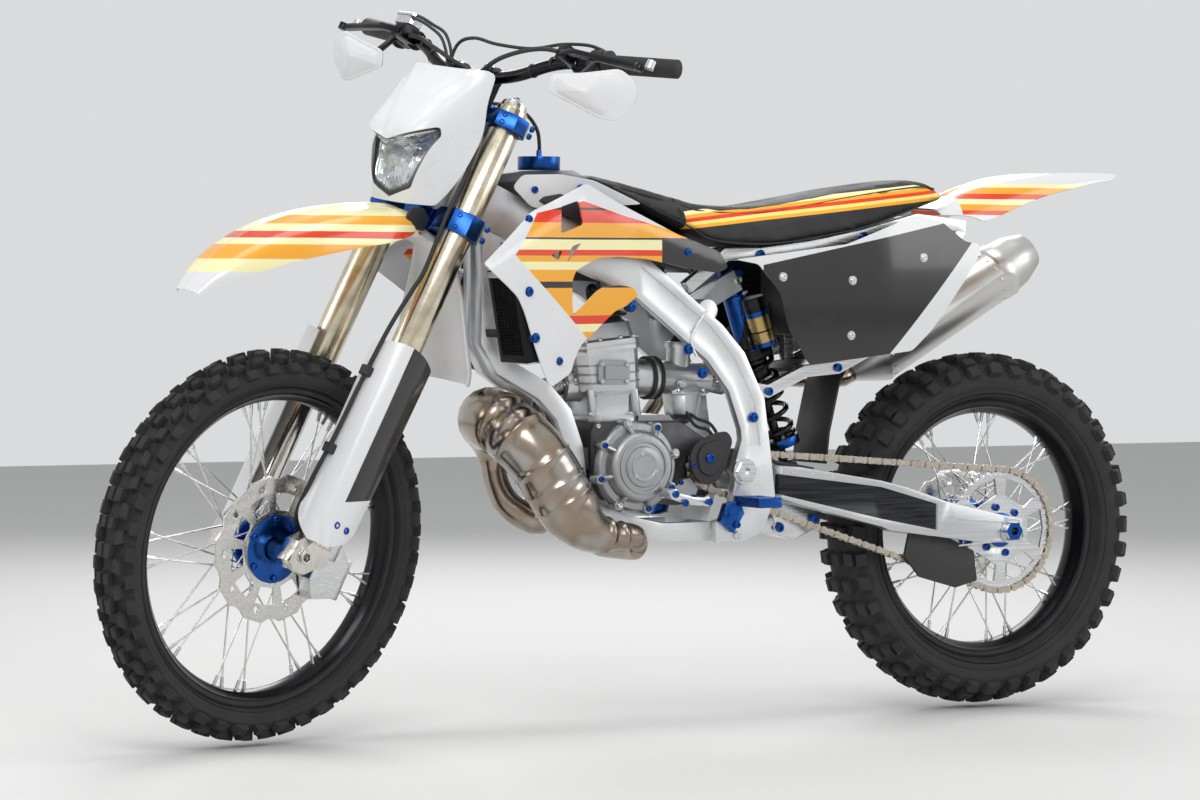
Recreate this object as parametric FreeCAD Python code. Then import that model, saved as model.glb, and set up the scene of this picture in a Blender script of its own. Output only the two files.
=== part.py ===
import FreeCAD, Part
import math
import os

# Trail motorcycle, two-stroke enduro type, full size, millimetres.
# It is modelled on its wheels: x forward from the rear axle, y to the left, z up from the
# ground, then moved as a whole so that the rider's seat reference point is the origin.

# Chassis geometry
wheelbase = 1495.0
front_tyre_radius = 342.0
rear_tyre_radius = 332.0
rake = 26.5
fork_offset = 22.0
axle_lead = 30.7
steer_at_rest = 15.9
seat_point_x = 470.0
seat_height = 935.0

# Wheels
front_tyre_width = 88.0
rear_tyre_width = 128.0
front_tyre_depth = 69.0
rear_tyre_depth = 95.0
front_rim_radius = front_tyre_radius - front_tyre_depth
rear_rim_radius = rear_tyre_radius - rear_tyre_depth
front_rim_width = 50.0
rear_rim_width = 64.0
rim_depth = 20.0
lug_height = 13.0
tyre_segments = 48
spoke_count = 36
spoke_width = 3.6
front_hub_length = 66.0
front_hub_radius = 26.0
front_flange_radius = 45.0
rear_hub_length = 90.0
rear_hub_radius = 32.0
rear_flange_radius = 52.0
flange_thickness = 6.0
front_axle_radius = 12.5
rear_axle_radius = 12.5
axle_bore_radius = 8.0
bore_clearance = 0.4
seat_gap = 0.3
front_disc_radius = 130.0
rear_disc_radius = 110.0
disc_thickness = 3.5
brake_band = 32.0
disc_ring = 9.0

# Drive
chain_pitch = 15.875
rear_teeth = 45
front_teeth = 13
chain_line = 80.0
chain_width = 18.0
sprocket_thickness = 6.0
countershaft_x = 642.0
countershaft_z = 460.0

# Steering head and fork
fork_spacing = 198.0
lower_clamp_height = 1000.0
clamp_spacing = 200.0
upper_clamp_height = lower_clamp_height + clamp_spacing
upper_clamp_thickness = 28.0
lower_clamp_thickness = 40.0
head_tube_radius = 33.0
stem_radius = 20.0
outer_tube_radius = 28.5
inner_tube_radius = 24.0
fork_tube_rise = 26.0
fork_top_height = upper_clamp_height + fork_tube_rise
outer_tube_bottom = 690.0

# Frame
swingarm_pivot_x = 583.0
swingarm_pivot_z = 455.0
spar_outer = 112.0
spar_wall = 18.0
subframe_width = 20.0
rail_center = 80.0
radiator_side = 191.5
rail_width = 26.0
arm_thickness = 26.0
swingarm_end = 118.0
side_recess = 3.0
spring_turns = 6

root = FreeCAD.Vector(-seat_point_x, 0, -seat_height)


def vec(x, y, z):
    return FreeCAD.Vector(x, y, z)


def face(points):
    return Part.Face(Part.makePolygon(points + [points[0]]))


def solid_of(faces):
    shell = Part.makeCompound(faces)
    shell.sewShape()
    return Part.makeSolid(shell.Shells[0])


def outward(solid):
    if solid.Volume < 0:
        solid.reverse()
    return solid


def side_plate(outline, y_low, y_high):
    """Plate with the given side outline in x and z, between two y values."""
    return face([vec(x, y_low, z) for x, z in outline]).extrude(vec(0, y_high - y_low, 0))


def top_plate(outline, z_low, z_high):
    """Plate with the given outline seen from above, between two heights."""
    return face([vec(x, y, z_low) for x, y in outline]).extrude(vec(0, 0, z_high - z_low))


def mirrored(shape):
    return shape.mirror(vec(0, 0, 0), vec(0, 1, 0))


def pair(shape):
    return Part.makeCompound([shape, mirrored(shape)])


def cyl(start, end, radius):
    axis = end.sub(start)
    return Part.makeCylinder(radius, axis.Length, start, axis)


def tube_y(x, z, y_low, y_high, radius):
    return Part.makeCylinder(radius, y_high - y_low, vec(x, y_low, z), vec(0, 1, 0))


def section_ring(center, normal, radius, sides):
    """Polygon wire of a round pipe's section."""
    helper = vec(0, 1, 0) if abs(normal.y) < 0.9 else vec(1, 0, 0)
    across = normal.cross(helper).normalize()
    along = normal.cross(across).normalize()
    points = []
    for index in range(sides):
        angle = 2 * math.pi * index / sides
        points.append(center + across * (radius * math.cos(angle)) + along * (radius * math.sin(angle)))
    return Part.makePolygon(points + [points[0]])


def bent_tube(points, radius):
    """Round tube of straight runs and arcs as large as the runs allow."""
    path = smooth_path(points)
    first = points[1].sub(points[0]).normalize()
    ring = Part.Wire([Part.Circle(points[0], first, radius).toShape()])
    return path.makePipeShell([ring], True, True)


def smooth_path(points):
    edges = []
    start = points[0]
    for index in range(1, len(points) - 1):
        before = points[index - 1].sub(points[index])
        after = points[index + 1].sub(points[index])
        turn = math.pi - before.getAngle(after)
        reach = 0.45 * min(before.Length, after.Length)
        radius = reach / math.tan(turn / 2)
        before.normalize()
        after.normalize()
        arc_start = points[index] + before * reach
        arc_end = points[index] + after * reach
        toward = (before + after).normalize()
        middle_distance = radius / math.cos(turn / 2) - radius
        middle = points[index] + toward * middle_distance
        edges.append(Part.LineSegment(start, arc_start).toShape())
        edges.append(Part.Arc(arc_start, middle, arc_end).toShape())
        start = arc_end
    edges.append(Part.LineSegment(start, points[-1]).toShape())
    return Part.Wire(edges)


def steering_place(shape):
    """Move a shape from the steering head's own frame to its place, turned as it rests."""
    moved = shape.copy()
    ground = wheelbase + trail()
    turn = FreeCAD.Placement(vec(0, 0, 0), FreeCAD.Rotation(vec(0, 0, 1), steer_at_rest))
    lean = FreeCAD.Placement(vec(ground, 0, 0), FreeCAD.Rotation(vec(0, 1, 0), -rake))
    moved.Placement = lean.multiply(turn).multiply(moved.Placement)
    return moved


def trail():
    angle = math.radians(rake)
    return (front_tyre_radius * math.sin(angle) - fork_offset - axle_lead) / math.cos(angle)


def front_axle_height():
    """Height of the front axle along the steering axis, from the ground point."""
    angle = math.radians(rake)
    return trail() * math.sin(angle) + front_tyre_radius * math.cos(angle)


def write(shape, name, steered=False):
    placed = steering_place(shape) if steered else shape.copy()
    placed.translate(root)
    placed.exportStep("parts/" + name + ".step")


def tyre(radius, width, rim_radius, rim_width):
    """Knobby tyre: a faceted carcass whose facets rise into lugs, in alternate rows."""
    crown = radius - lug_height
    half = width / 2
    bead = rim_radius + seat_gap
    waist = bead + 0.42 * (crown - bead)
    section = [(-rim_width / 2, bead), (-half, waist), (-half * 0.92, crown - 24), (-half * 0.48, crown),
               (half * 0.48, crown), (half * 0.92, crown - 24), (half, waist), (rim_width / 2, bead)]
    faces = []

    def point(station, index):
        angle = 2 * math.pi * index / tyre_segments
        y, r = section[station % len(section)]
        return vec(r * math.sin(angle), y, r * math.cos(angle))

    for index in range(tyre_segments):
        for station in range(len(section)):
            quad = [point(station, index), point(station + 1, index),
                    point(station + 1, index + 1), point(station, index + 1)]
            middle_lug = station == 3 and index % 2 == 0
            shoulder_lug = station in (2, 4) and index % 2 == 1
            if middle_lug or shoulder_lug:
                faces.extend(lug_faces(quad))
            else:
                faces.append(face(quad))
    return outward(solid_of(faces))


def lug_faces(quad):
    """Block with tapered sides that rises from one facet of the tyre."""
    center = (quad[0] + quad[1] + quad[2] + quad[3]) * 0.25
    normal = (quad[1] - quad[0]).cross(quad[3] - quad[0]).normalize()
    if normal.x * center.x + normal.z * center.z < 0:
        normal = normal * -1
    top = [center + (corner - center) * 0.8 + normal * lug_height for corner in quad]
    walls = [face([quad[k], quad[(k + 1) % 4], top[(k + 1) % 4], top[k]]) for k in range(4)]
    return walls + [face(top)]


def rim(radius, width):
    """Rim: the ring that the tyre sits on, with a well in the middle."""
    section = [(-width / 2, radius), (width / 2, radius), (width / 2, radius - 7),
               (width * 0.2, radius - rim_depth), (-width * 0.2, radius - rim_depth),
               (-width / 2, radius - 7)]
    faces = []

    def point(station, index):
        angle = 2 * math.pi * index / tyre_segments
        y, r = section[station % len(section)]
        return vec(r * math.sin(angle), y, r * math.cos(angle))

    for index in range(tyre_segments):
        for station in range(len(section)):
            faces.append(face([point(station, index), point(station + 1, index),
                               point(station + 1, index + 1), point(station, index + 1)]))
    return outward(solid_of(faces))


def hub(length, radius, flange_radius):
    """Hub with two spoke flanges and a bore that runs on the axle."""
    half = length / 2
    bore = front_axle_radius + bore_clearance
    outline = [(bore, -half), (radius - 4, -half), (radius - 4, -half + 8), (flange_radius, -half + 8),
               (flange_radius, -half + 8 + flange_thickness), (radius, -half + 20), (radius, half - 20),
               (flange_radius, half - 8 - flange_thickness), (flange_radius, half - 8),
               (radius - 4, half - 8), (radius - 4, half), (bore, half)]
    profile = face([vec(r, y, 0) for r, y in outline])
    return profile.revolve(vec(0, 0, 0), vec(0, 1, 0), 360)


def spokes(hub_length, flange_radius, rim_radius):
    """Laced spokes, each a square bar from a flange to the rim."""
    bars = []
    per_group = spoke_count // 4
    flange_y = hub_length / 2 - 8 - flange_thickness / 2
    inner = flange_radius + 1.5
    outer = (rim_radius - rim_depth) * math.cos(math.pi / tyre_segments) - seat_gap
    for side in (-1, 1):
        for lead in (-1, 1):
            for index in range(per_group):
                base = 2 * math.pi * (index + 0.25 * (lead + 1) + 0.12 * (side + 1)) / per_group
                far = base + lead * math.radians(52)
                y_near = side * (flange_y + lead * 2.4)
                start = vec(inner * math.sin(base), y_near, inner * math.cos(base))
                end = vec(outer * math.sin(far), side * 5.0, outer * math.cos(far))
                bars.append(square_bar(start, end, spoke_width))
    return Part.makeCompound(bars)


def square_bar(start, end, width):
    axis = end.sub(start)
    ring = section_ring(start, axis.normalize(), width * 0.7, 4)
    return Part.Face(ring).extrude(end.sub(start))


def brake_disc(radius, inner_radius, lobes):
    """Wave-edged brake disc with a ring of holes."""
    points = []
    for index in range(lobes):
        for share, depth in ((0.0, 0.0), (0.5, 0.0), (0.66, 7.0), (0.84, 7.0)):
            angle = 2 * math.pi * (index + share) / lobes
            reach = radius - depth
            points.append(vec(reach * math.sin(angle), -disc_thickness / 2, reach * math.cos(angle)))
    plate = face(points).extrude(vec(0, disc_thickness, 0))
    plate = plate.cut(tube_y(0, 0, -disc_thickness, disc_thickness, inner_radius))
    holes = []
    for index in range(lobes):
        angle = 2 * math.pi * (index + 0.25) / lobes
        reach = radius - 22
        holes.append(tube_y(reach * math.sin(angle), reach * math.cos(angle),
                            -disc_thickness, disc_thickness, 5.0))
    windows = ring_windows(lobes, inner_radius + disc_ring, radius - brake_band, 0.14, 0.82, disc_thickness)
    return plate.cut(Part.makeCompound(holes + windows))


def ring_windows(count, inner, outer, first, last, half_thickness):
    """Cutters for windows between arms, from one share of the pitch to another."""
    windows = []
    for index in range(count):
        start, end = (2 * math.pi * (index + share) / count for share in (first, last))
        corners = [(inner, start), (outer, start), (outer, (start + end) / 2), (outer, end), (inner, end)]
        points = [vec(r * math.sin(a), -half_thickness, r * math.cos(a)) for r, a in corners]
        windows.append(face(points).extrude(vec(0, 2 * half_thickness, 0)))
    return windows


def sprocket(teeth, thickness, bore, windows):
    """Chain sprocket with pointed teeth, a bore and windows between its arms."""
    pitch_radius = chain_pitch / (2 * math.sin(math.pi / teeth))
    points = []
    for index in range(teeth):
        for share, height in ((-0.3, -5.0), (-0.1, 4.0), (0.1, 4.0), (0.3, -5.0)):
            angle = 2 * math.pi * (index + share) / teeth
            reach = pitch_radius + height
            points.append(vec(reach * math.sin(angle), -thickness / 2, reach * math.cos(angle)))
    plate = face(points).extrude(vec(0, thickness, 0))
    plate = plate.cut(tube_y(0, 0, -thickness, thickness, bore))
    if windows:
        plate = plate.cut(Part.makeCompound(windows))
    return plate


def rear_sprocket():
    pitch_radius = chain_pitch / (2 * math.sin(math.pi / rear_teeth))
    windows = ring_windows(6, rear_flange_radius + 14, pitch_radius - 16, 0.13, 0.87, sprocket_thickness)
    return sprocket(rear_teeth, sprocket_thickness, rear_hub_radius, windows)


def chain_path():
    """Pitch points of the chain's loop around both sprockets, in x and z."""
    rear_radius = chain_pitch / (2 * math.sin(math.pi / rear_teeth))
    front_radius = chain_pitch / (2 * math.sin(math.pi / front_teeth))
    dx = countershaft_x
    dz = countershaft_z - rear_tyre_radius
    distance = math.hypot(dx, dz)
    heading = math.atan2(dz, dx)
    taper = math.asin((rear_radius - front_radius) / distance)
    return rear_radius, front_radius, distance, heading, taper


def chain():
    """Chain as one loop of scalloped link plates, slotted where the sprocket teeth run."""
    rear_radius, front_radius, distance, heading, taper = chain_path()
    run = distance * math.cos(taper)
    rear_arc = rear_radius * (math.pi + 2 * taper)
    front_arc = front_radius * (math.pi - 2 * taper)
    total = 2 * run + rear_arc + front_arc
    links = int(round(total / chain_pitch / 2)) * 2
    step = total / links / 2
    outer = []
    inner = []
    for index in range(2 * links):
        x, z, nx, nz = loop_point(index * step, run, rear_arc, front_arc, rear_radius, front_radius,
                                  distance, heading, taper)
        half = 7.2 if index % 2 == 0 else 5.2
        outer.append((x + nx * half, z + nz * half))
        inner.append((x - nx * half, z - nz * half))
    band = side_plate(outer, chain_line - chain_width / 2, chain_line + chain_width / 2)
    band = band.cut(side_plate(inner, chain_line - chain_width, chain_line + chain_width))
    rear_half = sprocket_thickness / 2 + 1.5
    front_half = sprocket_thickness / 2 + seat_gap
    rear_slot = tube_y(0, rear_tyre_radius, chain_line - rear_half, chain_line + rear_half, rear_radius + 5.0)
    front_slot = tube_y(countershaft_x, countershaft_z, chain_line - front_half,
                        chain_line + front_half, front_radius + 5.0)
    return band.cut(Part.makeCompound([rear_slot, front_slot]))


def loop_point(s, run, rear_arc, front_arc, rear_radius, front_radius, distance, heading, taper):
    """Point and outward direction on the chain's pitch line, at a length s along the loop."""
    rear = (0.0, rear_tyre_radius)
    front = (countershaft_x, countershaft_z)
    top = heading + math.pi / 2 - taper
    if s < run:
        nx, nz = math.cos(top), math.sin(top)
        x = rear[0] + nx * rear_radius + s * math.cos(heading - taper)
        z = rear[1] + nz * rear_radius + s * math.sin(heading - taper)
        return x, z, nx, nz
    s -= run
    if s < front_arc:
        angle = top - s / front_radius
        nx, nz = math.cos(angle), math.sin(angle)
        return front[0] + nx * front_radius, front[1] + nz * front_radius, nx, nz
    s -= front_arc
    bottom = heading - math.pi / 2 + taper
    if s < run:
        nx, nz = math.cos(bottom), math.sin(bottom)
        x = front[0] + nx * front_radius - s * math.cos(heading + taper)
        z = front[1] + nz * front_radius - s * math.sin(heading + taper)
        return x, z, nx, nz
    s -= run
    angle = bottom - s / rear_radius
    nx, nz = math.cos(angle), math.sin(angle)
    return rear[0] + nx * rear_radius, rear[1] + nz * rear_radius, nx, nz


def local(x, y, z):
    """Point of the unturned steering parts, from its place on the ground frame."""
    angle = math.radians(rake)
    reach = x - wheelbase - trail()
    along = -reach * math.sin(angle) + z * math.cos(angle)
    return vec(reach * math.cos(angle) + z * math.sin(angle), y, along)


def band(points, width):
    """Outline of a strip of even width along a line of points in x and z, or x and y."""
    left = []
    right = []
    for index, point in enumerate(points):
        before = points[max(index - 1, 0)]
        after = points[min(index + 1, len(points) - 1)]
        first = unit(before, point) if index > 0 else unit(point, after)
        second = unit(point, after) if index < len(points) - 1 else first
        nx, nz = -(first[1] + second[1]), first[0] + second[0]
        size = math.hypot(nx, nz)
        miter = width / 2 / max(0.3, (nx * -first[1] + nz * first[0]) / size)
        left.append((point[0] + nx / size * miter, point[1] + nz / size * miter))
        right.append((point[0] - nx / size * miter, point[1] - nz / size * miter))
    return left + right[::-1]


def unit(start, end):
    size = math.hypot(end[0] - start[0], end[1] - start[1])
    return ((end[0] - start[0]) / size, (end[1] - start[1]) / size)


def bent_panel(outline, plan_line, thickness):
    """Panel with a side outline, bent along a line seen from above."""
    low = min(z for x, z in outline) - 1
    high = max(z for x, z in outline) + 1
    sheet = top_plate(band(plan_line, thickness), low, high)
    return sheet.common(side_plate(outline, 0, 400))


def loft(sections):
    """Closed form of straight-edged sections that have equal numbers of points."""
    faces = [face(sections[0]), face(sections[-1])]
    for first, second in zip(sections, sections[1:]):
        count = len(first)
        for index in range(count):
            a, b = first[index], first[(index + 1) % count]
            c, d = second[(index + 1) % count], second[index]
            faces.append(face([a, b, c]))
            faces.append(face([a, c, d]))
    return outward(solid_of(faces))


def moulded_sheet(spine, thickness):
    """Thin sheet along a line of (x, z, half width, drop of its edges), thick to the line's right."""
    sections = []
    for index, (x, z, half, drop) in enumerate(spine):
        before = spine[max(index - 1, 0)]
        after = spine[min(index + 1, len(spine) - 1)]
        along = unit(before[:2], after[:2])
        side = vec(along[1], 0, -along[0])
        row = [vec(x, half * share, z) + side * (drop * fall) for share, fall in edge_curve]
        under = [point + side * thickness for point in row]
        sections.append(row + under[::-1])
    return loft(sections)


edge_curve = ((-1.0, 1.0), (-0.92, 0.5), (-0.72, 0.14), (-0.36, 0.0), (0.36, 0.0), (0.72, 0.14), (0.92, 0.5),
              (1.0, 1.0))


def pipe(points, radii, sides):
    """Pipe of straight cones between flat welds, with a radius at each point."""
    sections = []
    for index, point in enumerate(points):
        before = points[max(index - 1, 0)]
        after = points[min(index + 1, len(points) - 1)]
        first = (point - before).normalize() if index > 0 else (after - point).normalize()
        second = (after - point).normalize() if index < len(points) - 1 else first
        normal = (first + second).normalize()
        sections.append(ring_points(point, normal, radii[index], sides))
    return loft(sections)


def ring_points(center, normal, radius, sides):
    flat = vec(0, 1, 0) if abs(normal.y) < 0.8 else vec(0, 0, 1)
    across = (flat - normal * flat.dot(normal)).normalize()
    along = normal.cross(across)
    angles = [2 * math.pi * (index + 0.5) / sides for index in range(sides)]
    return [center + across * (radius * math.cos(a)) + along * (radius * math.sin(a)) for a in angles]


def lean_place(shape):
    """Place a shape of the steering head's frame without turning it, as part of the chassis."""
    moved = shape.copy()
    lean = FreeCAD.Placement(vec(wheelbase + trail(), 0, 0), FreeCAD.Rotation(vec(0, 1, 0), -rake))
    moved.Placement = lean.multiply(moved.Placement)
    return moved


def frame_spars():
    """Twin spars from the steering head to the swingarm pivot, with the pivot bolt."""
    inner = spar_outer - spar_wall
    nose = on_head(-11, 45)[0] + 5
    plan = [(nose, -36), (nose, 36), (1030, 44), (850, spar_outer), (500, spar_outer), (500, inner),
            (846, inner), (1020, 20), (1020, -20), (846, -inner), (500, -inner), (500, -spar_outer),
            (850, -spar_outer), (1030, -44)]
    spars = side_plate(spar_outline(), -200, 200).common(top_plate(plan, 300, 1200))
    recess = [(800, 826), (652, 716), (604, 663), (561, 582), (547, 500), (572, 500), (575, 540), (603, 612),
              (650, 668), (790, 776)]
    pocket = side_plate(recess, spar_outer - side_recess, spar_outer + 1)
    spars = spars.cut([pocket, mirrored(pocket)])
    low, high = head_tube_ends()
    head = lean_place(Part.makeCylinder(head_tube_radius, high - low, vec(0, 0, low)))
    bore = lean_place(Part.makeCylinder(stem_radius + bore_clearance, high - low + 40, vec(0, 0, low - 20)))
    bolt = tube_y(swingarm_pivot_x, swingarm_pivot_z, -spar_outer - 6, spar_outer + 6, 11.0)
    beam = tube_y(650, 745, -inner - 1, inner + 1, 20)
    tie = tube_y(575, 345, -inner - 1, inner + 1, 12)
    tower = side_plate(band([(650, 745), (546, 800)], 40), 17, 27)
    return spars.fuse([head, bolt, beam, tie, tower, mirrored(tower)]).cut(bore)


def spar_outline():
    return [on_head(-21, 111), (782, 836), (629, 719), (583, 670), (540, 586), (524, 475), (516, 410),
            (540, 345), (585, 328), (640, 328), (640, 366), (618, 372), (608, 400), (601, 432),
            (600, 470), (587, 512), (589, 531), (615, 601), (660, 656), (807, 769), (960, 838),
            on_head(-38, 31), on_head(-11, 45)]


def on_head(ahead, above):
    """Place in x and z of a point ahead of the steering axis and above the lower clamp."""
    angle = math.radians(rake)
    height = lower_clamp_height + above
    return (wheelbase + trail() + ahead * math.cos(angle) - height * math.sin(angle),
            ahead * math.sin(angle) + height * math.cos(angle))


def head_tube_ends():
    low = lower_clamp_height + lower_clamp_thickness / 2 + 1.0
    high = upper_clamp_height - upper_clamp_thickness / 2 - 1.0
    return low, high


def cradle():
    """Down tubes and lower rails below the engine."""
    line = [(1062, 905), (1060, 780), (1062, 690), (1036, 645), (965, 602), (925, 560), (903, 500), (893, 430),
            (862, 386), (800, 362), (745, 347), (641, 347)]
    outline = band(line, 34)
    inner_rail = rail_center - rail_width / 2
    plan = [(1125, 4), (1125, 30), (1040, 42), (960, 60), (792, 62), (738, rail_center + rail_width / 2),
            (600, rail_center + rail_width / 2), (600, inner_rail), (730, inner_rail), (784, 36),
            (960, 34), (1035, 16), (1110, 4)]
    side = side_plate(outline, -200, 200).common(top_plate(plan, 300, 950))
    above = [(x, z - seat_gap) for x, z in spar_outline()]
    side = side.cut(side_plate(above, -50, 50))
    tie = side_plate([(742, 330), (700, 330), (700, 352), (742, 352)], -inner_rail - 1, inner_rail + 1)
    return side.fuse([mirrored(side), tie])


def subframe():
    """Rear frame that carries the seat, side panels and rear fender."""
    inner = spar_outer - spar_wall
    y_low, y_high = inner - subframe_width, inner - seat_gap
    upper = side_plate(band([(690, 786), (610, 846), (540, 846.6), (430, 860.5), (320, 881), (200, 912),
                             (92, 900)], 22), y_low, y_high)
    lower = side_plate(band([(585, 610), (520, 598), (440, 634), (370, 640), (230, 705), (100, 893)], 22),
                       y_low, y_high)
    strut = side_plate(band([(372, 642), (380, 864)], 18), y_low, y_high)
    side = upper.fuse([lower, strut])
    rear_tie = side_plate(band([(118, 886), (92, 900)], 20), -y_low - 1, y_low + 1)
    front_tie = side_plate(band([(452, 858), (466, 856)], 16), -y_low - 1, y_low + 1)
    return side.fuse([mirrored(side), rear_tie, front_tie])


def swingarm():
    """Swingarm: pivot tube, two arms, a bridge ahead of the tyre and the axle blocks."""
    outline = [(622, 470), (610, 490), (560, 490), (521, 465), (459, 460), (285, 432), (235, 420),
               (139, 389), (19, 362), (-26, 354), (-26, 310), (63, 312), (263, 339), (284, 347),
               (458, 391), (545, 418), (560, 420), (612, 422)]
    end = swingarm_end
    plan = [(625, 42), (625, 68), (520, 68), (498, 106), (300, 109), (140, end), (-40, end),
            (-40, end - arm_thickness), (135, end - arm_thickness), (175, 82), (300, 78), (352, 72),
            (498, 50)]
    side = side_plate(outline, 0, 200).common(top_plate(plan, 250, 520))
    slot = tube_y(0, rear_tyre_radius, 80, 130, rear_axle_radius + bore_clearance)
    pocket = side_plate([(506, 448), (285, 420), (165, 386), (165, 338), (285, 362), (506, 412)], 0, 200)
    depth = side_recess
    pocket = pocket.common(top_plate([(506, 104 - depth), (300, 109 - depth), (140, end - depth),
                                      (140, end + 9), (506, end + 9)], 250, 520))
    side = side.cut([slot, pocket])
    bridge = side_plate([(352, 402), (352, 432), (396, 444), (396, 404)], -73, 73)
    tube = tube_y(swingarm_pivot_x, swingarm_pivot_z, -60, 60, 26)
    arm = side.fuse([mirrored(side), bridge, tube])
    return arm.cut(tube_y(swingarm_pivot_x, swingarm_pivot_z, -120, 120, 11.0 + seat_gap))


def rear_axle():
    end = swingarm_end
    axle = tube_y(0, rear_tyre_radius, -end - 7, end + 7, rear_axle_radius)
    spacer_left = tube_y(0, rear_tyre_radius, chain_line + 6, end - arm_thickness - seat_gap, 19)
    spacer_right = tube_y(0, rear_tyre_radius, -end + arm_thickness + seat_gap, -rear_disc_y() - 6, 19)
    nut = tube_y(0, rear_tyre_radius, end + seat_gap, end + 12, 18)
    head = tube_y(0, rear_tyre_radius, -end - 10, -end - seat_gap, 18)
    axle = axle.fuse([spacer_left, spacer_right, nut, head])
    return axle.cut(tube_y(0, rear_tyre_radius, -end - 20, end + 20, axle_bore_radius))


def rear_disc_y():
    return 66.0


def shock():
    """Shock absorber with its reservoir, and its spring as a piece of its own."""
    top = vec(546, 0, 800)
    bottom = vec(424, 0, 452)
    axis = (bottom - top).normalize()
    spring_top = top + axis * 150
    spring_foot = bottom - axis * 60
    body = cyl(top + axis * 30, top + axis * 190, 24)
    seat_ring = cyl(top + axis * 130, spring_top, 40)
    rod = cyl(top + axis * 190, bottom, 9)
    foot = cyl(spring_foot, spring_foot + axis * 16, 40)
    eye = tube_y(top.x, top.z, -17 + seat_gap, 17 - seat_gap, 23)
    fork = tube_y(bottom.x, bottom.z, -18, 18, 17)
    stem = cyl(top, top + axis * 40, 15)
    reservoir_top = top + axis * 34 + vec(0, 58, 0)
    reservoir = cyl(reservoir_top, reservoir_top + axis * 92, 21)
    hose = cyl(top + axis * 60, reservoir_top + axis * 26, 10)
    damper = body.fuse([seat_ring, rod, foot, eye, fork, stem, reservoir, hose])
    return damper, coil_spring(spring_top, spring_foot, 33.0, 5.5, spring_turns)


def coil_spring(start, end, radius, wire_radius, turns):
    """Spring of flat facets whose end coils lie flat on their seats."""
    axis = (end - start).normalize()
    across = vec(0, 1, 0)
    along = axis.cross(across).normalize()
    low = wire_radius + seat_gap
    high = (end - start).Length - low
    around, sides, flat = 16, 6, 0.7
    sections = []
    for index in range(int(around * turns) + 1):
        turn = index / around
        rise = min(max((turn - flat) / (turns - 2 * flat), 0.0), 1.0)
        angle = 2 * math.pi * turn
        out = across * math.cos(angle) + along * math.sin(angle)
        center = start + axis * (low + (high - low) * rise)
        ring = []
        for side in range(sides):
            share = 2 * math.pi * (side + 0.5) / sides
            ring.append(center + out * (radius + wire_radius * math.cos(share))
                        + axis * (wire_radius * math.sin(share)))
        sections.append(ring)
    return loft(sections)


def linkage():
    outline = [(455, 330), (420, 322), (368, 345), (362, 372), (364, 402.2), (397, 403.6), (412, 410),
               (414, 433.6), (434, 433.6), (444, 390), (470, 372)]
    rocker = side_plate(outline, -28, 28)
    pull = side_plate(band([(455, 350), (560, 345)], 26), -20, 20)
    return rocker.fuse(pull)


def crankcase():
    """Crankcase halves with the gearbox behind, and the lugs that hold it in the cradle."""
    outline = [(874, 530), (874, 440), (862, 420), (840, 406), (700, 394), (642, 398), (630, 412), (627, 440),
               (626, 492), (634, 512), (690, 545), (866, 545)]
    case = side_plate(outline, -68, 68)
    lug = side_plate([(870, 500), (885.4, 500), (879.7, 460), (870, 460)], 38, 58)
    gearbox_lug = side_plate([(640, 500), (606, 500), (606, 470), (640, 470)], -40, 40)
    return case.fuse([lug, mirrored(lug), gearbox_lug])


def round_cover(center_x, center_z, radius, lugs):
    """Round engine cover: bolt flange with lugs, stepped dome and a flat disc at its middle."""
    face_y = 68.0
    outline = [(0, face_y), (radius, face_y), (radius, 88), (radius - 4, 92), (radius - 14, 92),
               (radius - 18, 108), (radius - 24, 114), (radius * 0.46, 114), (radius * 0.44, 118), (0, 118)]
    cover = face([vec(r, y, 0) for r, y in outline]).revolve(vec(0, 0, 0), vec(0, 1, 0), 360)
    bolts = []
    for index in range(lugs):
        angle = 2 * math.pi * (index + 0.35) / lugs
        bolts.append(tube_y((radius - 1) * math.sin(angle), (radius - 1) * math.cos(angle), face_y, 95, 9))
    cover = cover.fuse(bolts)
    cover.translate(vec(center_x, 0, center_z))
    return cover


def engine_covers():
    """Ignition cover on the left; clutch cover and water pump on the right."""
    left = round_cover(792, 467, 80, 8)
    clutch = mirrored(round_cover(768, 468, 82, 9))
    pump = tube_y(846, 432, -96, -68, 24)
    return Part.makeCompound([left, clutch.fuse(pump)])


def cylinder_ring(height, center_x, half_length, half_width, slope):
    """Eight-sided section of the cylinder, tilted by a slope, at a height in the ground frame."""
    corner = 16.0
    plan = [(-half_length, -half_width + corner), (-half_length + corner, -half_width),
            (half_length - corner, -half_width), (half_length, -half_width + corner),
            (half_length, half_width - corner), (half_length - corner, half_width),
            (-half_length + corner, half_width), (-half_length, half_width - corner)]
    return [vec(center_x + x, y, height - slope * x) for x, y in plan]


head_slope = 0.106
head_joint = 681.0


def cylinder():
    """Cylinder with its foot flange, narrow waist, wide water jacket and exhaust port."""
    foot = loft([cylinder_ring(545 + seat_gap, 815, 50, 58, 0), cylinder_ring(558, 816, 50, 58, 0)])
    rings = [(557, 816, 46, 47, 0.0), (592, 818, 48, 48, 0.03), (602, 819, 60, 54, 0.04),
             (664, 826, 63, 55, 0.1), (head_joint - 8, 827, 63, 55, head_slope)]
    barrel = loft([cylinder_ring(*ring) for ring in rings])
    rim_plate = loft([cylinder_ring(head_joint - 9, 827, 66, 58, head_slope),
                      cylinder_ring(head_joint, 828, 66, 58, head_slope)])
    port = Part.makeCylinder(32, 40, vec(860, 0, 612), vec(1, 0, 0))
    studs = [cyl(vec(x, y, 556), vec(x + 7, y, 604), 8) for x in (768, 858) for y in (-46, 46)]
    return foot.fuse([barrel, rim_plate, port] + studs)


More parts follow.
